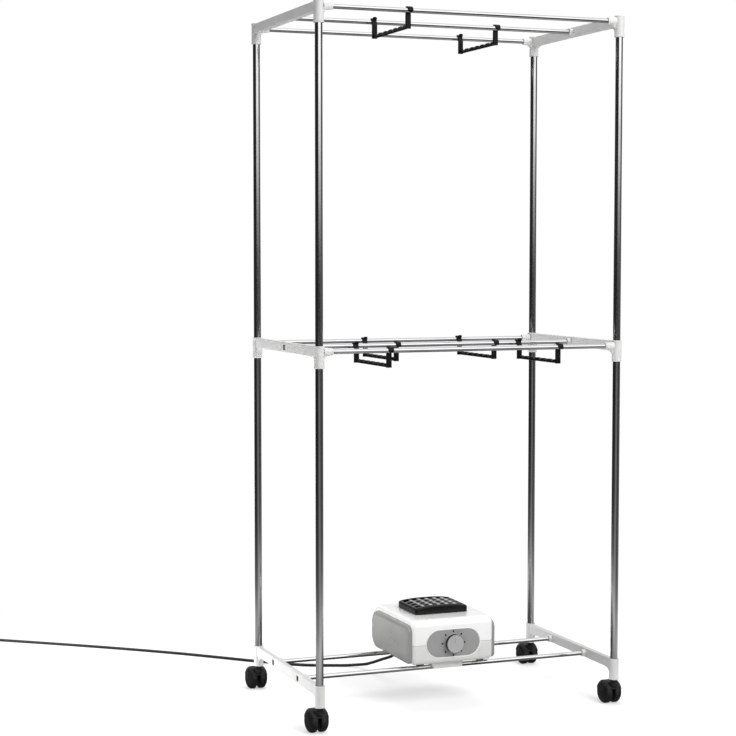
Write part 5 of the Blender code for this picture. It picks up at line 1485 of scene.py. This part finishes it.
def slat(x, half_thickness, half_y, tall):
    """A tall slat from front to back at a place along the arch: a thin rounded section, its top on
    the arch, that leans with the arch's slope."""
    y = np.linspace(-half_y, half_y, 9)
    section = rounded_loop(half_thickness, tall / 2, 0.0009, 4)
    lean = -GRILLE_FALL * 3 * x * abs(x) / GRILLE_HALF[0] ** 3 * 0.5
    offset = section[:, 1] * lean
    top = arch(x) - tall / 2 - 0.0012
    rings = np.stack([
        np.broadcast_to(x + section[:, 0] + offset, (9, len(section))),
        np.broadcast_to(y[:, None], (9, len(section))),
        np.broadcast_to(top + section[:, 1], (9, len(section))),
    ], axis=-1)
    return rings


def rib(y, half_thickness, tall):
    """A rib along the arch at a distance from its middle: its section carried along the arch."""
    reach = GRILLE_HALF[0] - GRILLE_BORDER[0] + 0.001
    x = np.linspace(-reach, reach, 60)
    path = np.column_stack([x, np.full(60, y), arch(x) - tall / 2 - 0.0002])
    return carried(rounded_loop(half_thickness, tall / 2, half_thickness * 0.9, 4), path, upright)


GRILLE_PLASTIC = moulded(
    "grille_black", (0.002, 0.002, 0.002), (0.004, 0.004, 0.004), (0.010, 0.010, 0.010), (0.22, 0.30),
    drift_scale=45.0, grain=(1200.0, 0.000015), dust=0.0, shine=0.22,
)
SLAT_GLOSS = moulded(
    "slat_gloss", (0.002, 0.002, 0.002), (0.004, 0.004, 0.004), (0.010, 0.010, 0.010), (0.08, 0.12),
    drift_scale=45.0, grain=(1200.0, 0.000004), dust=0.0, coat=1.0, shine=1.0,
)
inner_half_x = GRILLE_HALF[0] - GRILLE_BORDER[0]
inner_half_y = GRILLE_HALF[1] - GRILLE_BORDER[1]
slat_skins = []
for step in range(1, 6):
    x = -inner_half_x + 2 * inner_half_x * step / 6
    slat_skins.append((slat(x, 0.0040, inner_half_y + 0.001, 0.0090), False))
for step in range(1, 4):
    y = -inner_half_y + 2 * inner_half_y * step / 4
    slat_skins.append((rib(y, 0.0016, 0.0060), False))
grille_move = Matrix.Translation(Vector((grille_middle[0], grille_middle[1], GRILLE_FOOT)))
grille_mesh = closed_mesh("air_grille", [(grille_frame(), True)])
grille_mesh.transform(grille_move)
piece("air_grille", grille_mesh, GRILLE_PLASTIC, "rack", ["outlet_grille"], crease=38.0)
slat_mesh = closed_mesh("grille_slats", slat_skins)
slat_mesh.transform(grille_move)
piece("grille_slats", slat_mesh, SLAT_GLOSS, "rack", crease=38.0)

# Heating element and its frame
# Under the grille a dark heat-proof frame holds folded aluminium fins between flat ceramic bars.
BANKS = 6
BANK_MARGIN = 0.003
BAR_HALF = 0.0011
BAR_ROUND = 0.0004
FOLDS = 86
FOLD_CLEARANCE = 0.0013
FIN_HALF_THICKNESS = 0.00012
FIN_ROUND = 0.0001
FIN_SINK = 0.001
CHEEK_THICKNESS = 0.0024
CHEEK_ROUND = 0.0005
FIN_ALLOY = plated("fin_alloy", (0.60, 0.60, 0.61), (0.30, 0.42), (300.0, 300.0, 1500.0), 0.00003)
DARK_PLASTIC = moulded(
    "frame_dark", (0.050, 0.050, 0.050), (0.066, 0.066, 0.064), (0.12, 0.12, 0.12), (0.55, 0.7),
)
element_low, element_high = np.array(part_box("heating_element"))
element_middle = (element_low + element_high) / 2
half_x, half_y, half_z = (element_high - element_low) / 2
bank_width = 2 * (half_y - BANK_MARGIN) / BANKS
element_skins = []
for bank in range(BANKS + 1):
    y = BANK_MARGIN - half_y + bank * bank_width
    bar_box = rounded_box((-half_x, y - BAR_HALF, -half_z), (half_x, y + BAR_HALF, half_z), BAR_ROUND)
    element_skins.append((bar_box + element_middle, False))
fold_side = np.where(np.arange(FOLDS) % 2 == 0, -1.0, 1.0) * (bank_width / 2 - FOLD_CLEARANCE)
fold_x = np.linspace(BANK_MARGIN - half_x, half_x - BANK_MARGIN, FOLDS)
strip = rounded_loop(FIN_HALF_THICKNESS, half_z - FIN_SINK, FIN_ROUND, 1)
for bank in range(BANKS):
    fold_y = BANK_MARGIN - half_y + (bank + 0.5) * bank_width + fold_side
    path = np.column_stack([fold_x, fold_y, np.zeros(FOLDS)]) + element_middle
    element_skins.append((carried(strip, path, upright), False))
for near, far in ((-half_x, CHEEK_THICKNESS - half_x), (half_x - CHEEK_THICKNESS, half_x)):
    cheek = rounded_box((near, -half_y, -half_z), (far, half_y, half_z), CHEEK_ROUND)
    element_skins.append((cheek + element_middle, False))
piece(
    "element_fins", closed_mesh("element_fins", element_skins), FIN_ALLOY, "rack",
    ["heating_element"], crease=25.0,
)

# Fan, motor and timer switch
# Inside the casing a white axial impeller turns on the motor's shaft, and a clockwork switch stands
# behind the knob. The grille and the casing hide nearly all of them.
FAN_PLASTIC = moulded(
    "fan_white", (0.66, 0.66, 0.65), (0.60, 0.60, 0.59), (0.74, 0.74, 0.73), (0.4, 0.55)
)
SWITCH_PLASTIC = moulded(
    "switch_cream", (0.64, 0.60, 0.50), (0.58, 0.54, 0.45), (0.72, 0.68, 0.58), (0.4, 0.55)
)
MOTOR_STEEL = plated("motor_steel", (0.50, 0.50, 0.51), (0.28, 0.42), (60.0, 60.0, 1200.0), 0.00004)
finish_node("element_frame", DARK_PLASTIC)
finish_node("fan_impeller", FAN_PLASTIC)
finish_node("fan_motor", MOTOR_STEEL)
finish_node("timer_switch", SWITCH_PLASTIC)

# Floor, backdrop and studio light
# White paper lies under the rack and a white surround stands behind it. A large soft lamp at the front
# lights it, with one overhead and a low one on the left. Metal sees a studio of its own: a soft box in
# front, a card behind, a bright ceiling, and a floor that glows in a ring about the rack.
FLOOR_REACH = 14.0
WHITE_FROM = 0.7
WHITE_TO = 1.5
PAPER_GREY = 0.66
PAPER_LIFT = 0.42
PAPER_BOUNCE = 0.80
RING_RADIUS = 1.0
RING_WIDTH = 0.48
RING_LEVEL = 0.50
RING_FADE = (0.25, 1.0, 0.30, 1.0)
PATCH_PLACE = (-0.45, 1.05, 0.0)
PATCH_FADE = (0.15, 0.65, 1.0, 0.0)
FRONT_GLOW = (math.radians(-105.0), 0.75, 0.97, 0.20)
SIDE_GLOW = (math.radians(-12.0), 0.75, 0.95, 0.11)
FLOOR_LEVEL = 0.022
SOFTBOX = (math.radians(-83.0), 0.72, 0.86, 1.9)
SOFTBOX_FOOT = (-0.02, 0.13)
CARD = (math.radians(68.7), 0.70, 0.90, 0.9)
CARD_FOOT = (-0.03, 0.03)
CEILING = (0.30, 0.62, 0.0, 1.1)
SIDE_WALL = (math.radians(-10.0), 0.2, 0.9, 0.10)
ROOM_LEVEL = 0.03
SKY_LEVEL = 0.42
floor_mesh = bpy.data.meshes.new("studio_floor")
floor_mesh.from_pydata(
    [(x * FLOOR_REACH, y * FLOOR_REACH, 0.0) for x, y in ((-1, -1), (1, -1), (1, 1), (-1, 1))],
    [],
    [(0, 1, 2, 3)],
)
floor = bpy.data.objects.new("studio_floor", floor_mesh)
bpy.context.scene.collection.objects.link(floor)


def smooth_step(tree, value, low, high, bottom=0.0, top=1.0):
    """A value taken from one range to another along a smooth step."""
    return ranged(tree, value, low, high, bottom, top, kind="SMOOTHSTEP")


def vector_maths(tree, operation, first, second=(0.0, 0.0, 0.0)):
    """A vector maths node on a socket and a plain vector."""
    made = node(tree, "ShaderNodeVectorMath", {"operation": operation}, Vector=first)
    made.inputs[1].default_value = second
    return made


def towards(tree, way, heading, low, high, top):
    """A patch about a heading: a smooth step of the cosine between it and a level way."""
    pointing = vector_maths(tree, "DOT_PRODUCT", way, (math.cos(heading), math.sin(heading), 0.0))
    return smooth_step(tree, pointing.outputs["Value"], low, high, 0.0, top)


def shader_mix(tree, factor, first, second):
    """A blend of two shaders by a socket's value."""
    made = tree.nodes.new("ShaderNodeMixShader")
    for socket, value in zip(made.inputs, (factor, first, second)):
        tree.links.new(value, socket)
    return made.outputs["Shader"]


def white_glow(tree, kind, strength):
    """The shader of a white emission or background."""
    return node(tree, kind, Color=(1.0, 1.0, 1.0, 1.0), Strength=strength).outputs[0]


def matt(tree, grey):
    """The shader of a matt grey."""
    return node(tree, "ShaderNodeBsdfDiffuse", Color=(grey, grey, grey, 1.0)).outputs["BSDF"]


def seen_directly(tree, rays):
    """One for the camera's rays and for those that pass through glass, nought for all others."""
    return calculate(tree, "MAXIMUM", rays.outputs["Is Camera Ray"], rays.outputs["Is Transmission Ray"])


FLOOR_PAPER = bpy.data.materials.new("studio_white")
FLOOR_PAPER.use_nodes = True
paper = FLOOR_PAPER.node_tree
paper.nodes.clear()
paper_rays = paper.nodes.new("ShaderNodeLightPath")
paper_place = object_place(paper)
distance = vector_maths(paper, "LENGTH", paper_place).outputs["Value"]

# What the camera sees: paper that takes the rack's shadow, and pure white further out
near_white = paper.nodes.new("ShaderNodeAddShader")
paper.links.new(matt(paper, PAPER_GREY), near_white.inputs[0])
paper.links.new(white_glow(paper, "ShaderNodeEmission", PAPER_LIFT), near_white.inputs[1])
for_camera = shader_mix(
    paper,
    smooth_step(paper, distance, WHITE_FROM, WHITE_TO),
    near_white.outputs["Shader"],
    white_glow(paper, "ShaderNodeEmission", 1.0),
)

# What metal sees: a ring, a patch behind on the left, and broad glows at the front and the right
ring = calculate(paper, "DIVIDE", calculate(paper, "SUBTRACT", distance, RING_RADIUS), RING_WIDTH)
ring = calculate(paper, "ADD", 1.0, calculate(paper, "POWER", ring, 2.0))
ring = calculate(paper, "DIVIDE", RING_LEVEL, ring)
ring = calculate(paper, "MULTIPLY", ring, smooth_step(paper, distance, *RING_FADE))
patch = vector_maths(paper, "DISTANCE", paper_place, PATCH_PLACE).outputs["Value"]
ring = calculate(paper, "MAXIMUM", ring, smooth_step(paper, patch, *PATCH_FADE))
paper_way = vector_maths(paper, "NORMALIZE", paper_place).outputs["Vector"]
front_glow = towards(paper, paper_way, *FRONT_GLOW)
side_glow = towards(paper, paper_way, *SIDE_GLOW)
ring = calculate(paper, "ADD", ring, calculate(paper, "MAXIMUM", front_glow, side_glow))
for_others = shader_mix(
    paper,
    paper_rays.outputs["Is Glossy Ray"],
    matt(paper, PAPER_BOUNCE),
    white_glow(paper, "ShaderNodeEmission", calculate(paper, "ADD", ring, FLOOR_LEVEL)),
)
paper_shader = shader_mix(paper, seen_directly(paper, paper_rays), for_others, for_camera)
paper.links.new(paper_shader, paper.nodes.new("ShaderNodeOutputMaterial").inputs["Surface"])
floor_mesh.materials.append(FLOOR_PAPER)


def area_light(name, heading, rise, distance, size, power, height=0.6):
    """A soft light that faces a height on the rack's axis from a heading, a rise and a distance."""
    lamp = bpy.data.lights.new(name, "AREA")
    lamp.shape = "RECTANGLE"
    lamp.size, lamp.size_y = size
    lamp.energy = power
    heading, rise = math.radians(heading), math.radians(rise)
    outwards = math.cos(rise)
    away = Vector((math.cos(heading) * outwards, math.sin(heading) * outwards, math.sin(rise)))
    made = bpy.data.objects.new(name, lamp)
    made.location = Vector((0.0, 0.0, height)) + away * distance
    made.rotation_euler = away.to_track_quat("Z", "Y").to_euler()
    made.visible_camera = False
    made.visible_glossy = False
    bpy.context.scene.collection.objects.link(made)


area_light("key", heading=-72.0, rise=32.0, distance=3.6, size=(2.2, 1.8), power=95.0)
area_light("side", heading=158.0, rise=2.0, distance=1.2, size=(0.9, 0.3), power=11.0, height=0.12)
area_light("top", heading=60.0, rise=79.0, distance=3.0, size=(1.8, 1.8), power=42.0)

world = bpy.data.worlds.new("studio")
bpy.context.scene.world = world
world.use_nodes = True
sky = world.node_tree
sky.nodes.clear()
sky_rays = sky.nodes.new("ShaderNodeLightPath")
sky_way = sky.nodes.new("ShaderNodeTexCoord").outputs["Generated"]
up = node(sky, "ShaderNodeSeparateXYZ", Vector=sky_way).outputs["Z"]
level = vector_maths(sky, "MULTIPLY", sky_way, (1.0, 1.0, 0.0)).outputs["Vector"]
level = vector_maths(sky, "NORMALIZE", level).outputs["Vector"]
softbox = towards(sky, level, *SOFTBOX)
softbox = calculate(sky, "MULTIPLY", softbox, smooth_step(sky, up, *SOFTBOX_FOOT))
card = calculate(sky, "MULTIPLY", towards(sky, level, *CARD), smooth_step(sky, up, *CARD_FOOT))
room = calculate(sky, "MAXIMUM", calculate(sky, "MAXIMUM", softbox, card), smooth_step(sky, up, *CEILING))
room = calculate(sky, "MAXIMUM", room, towards(sky, level, *SIDE_WALL))
room = calculate(sky, "ADD", room, ROOM_LEVEL)
for_others = shader_mix(
    sky,
    sky_rays.outputs["Is Glossy Ray"],
    white_glow(sky, "ShaderNodeBackground", SKY_LEVEL),
    white_glow(sky, "ShaderNodeBackground", room),
)
for_camera = white_glow(sky, "ShaderNodeBackground", 1.0)
sky_shader = shader_mix(sky, seen_directly(sky, sky_rays), for_others, for_camera)
sky.links.new(sky_shader, sky.nodes.new("ShaderNodeOutputWorld").inputs["Surface"])
bpy.context.scene.view_settings.view_transform = "Standard"
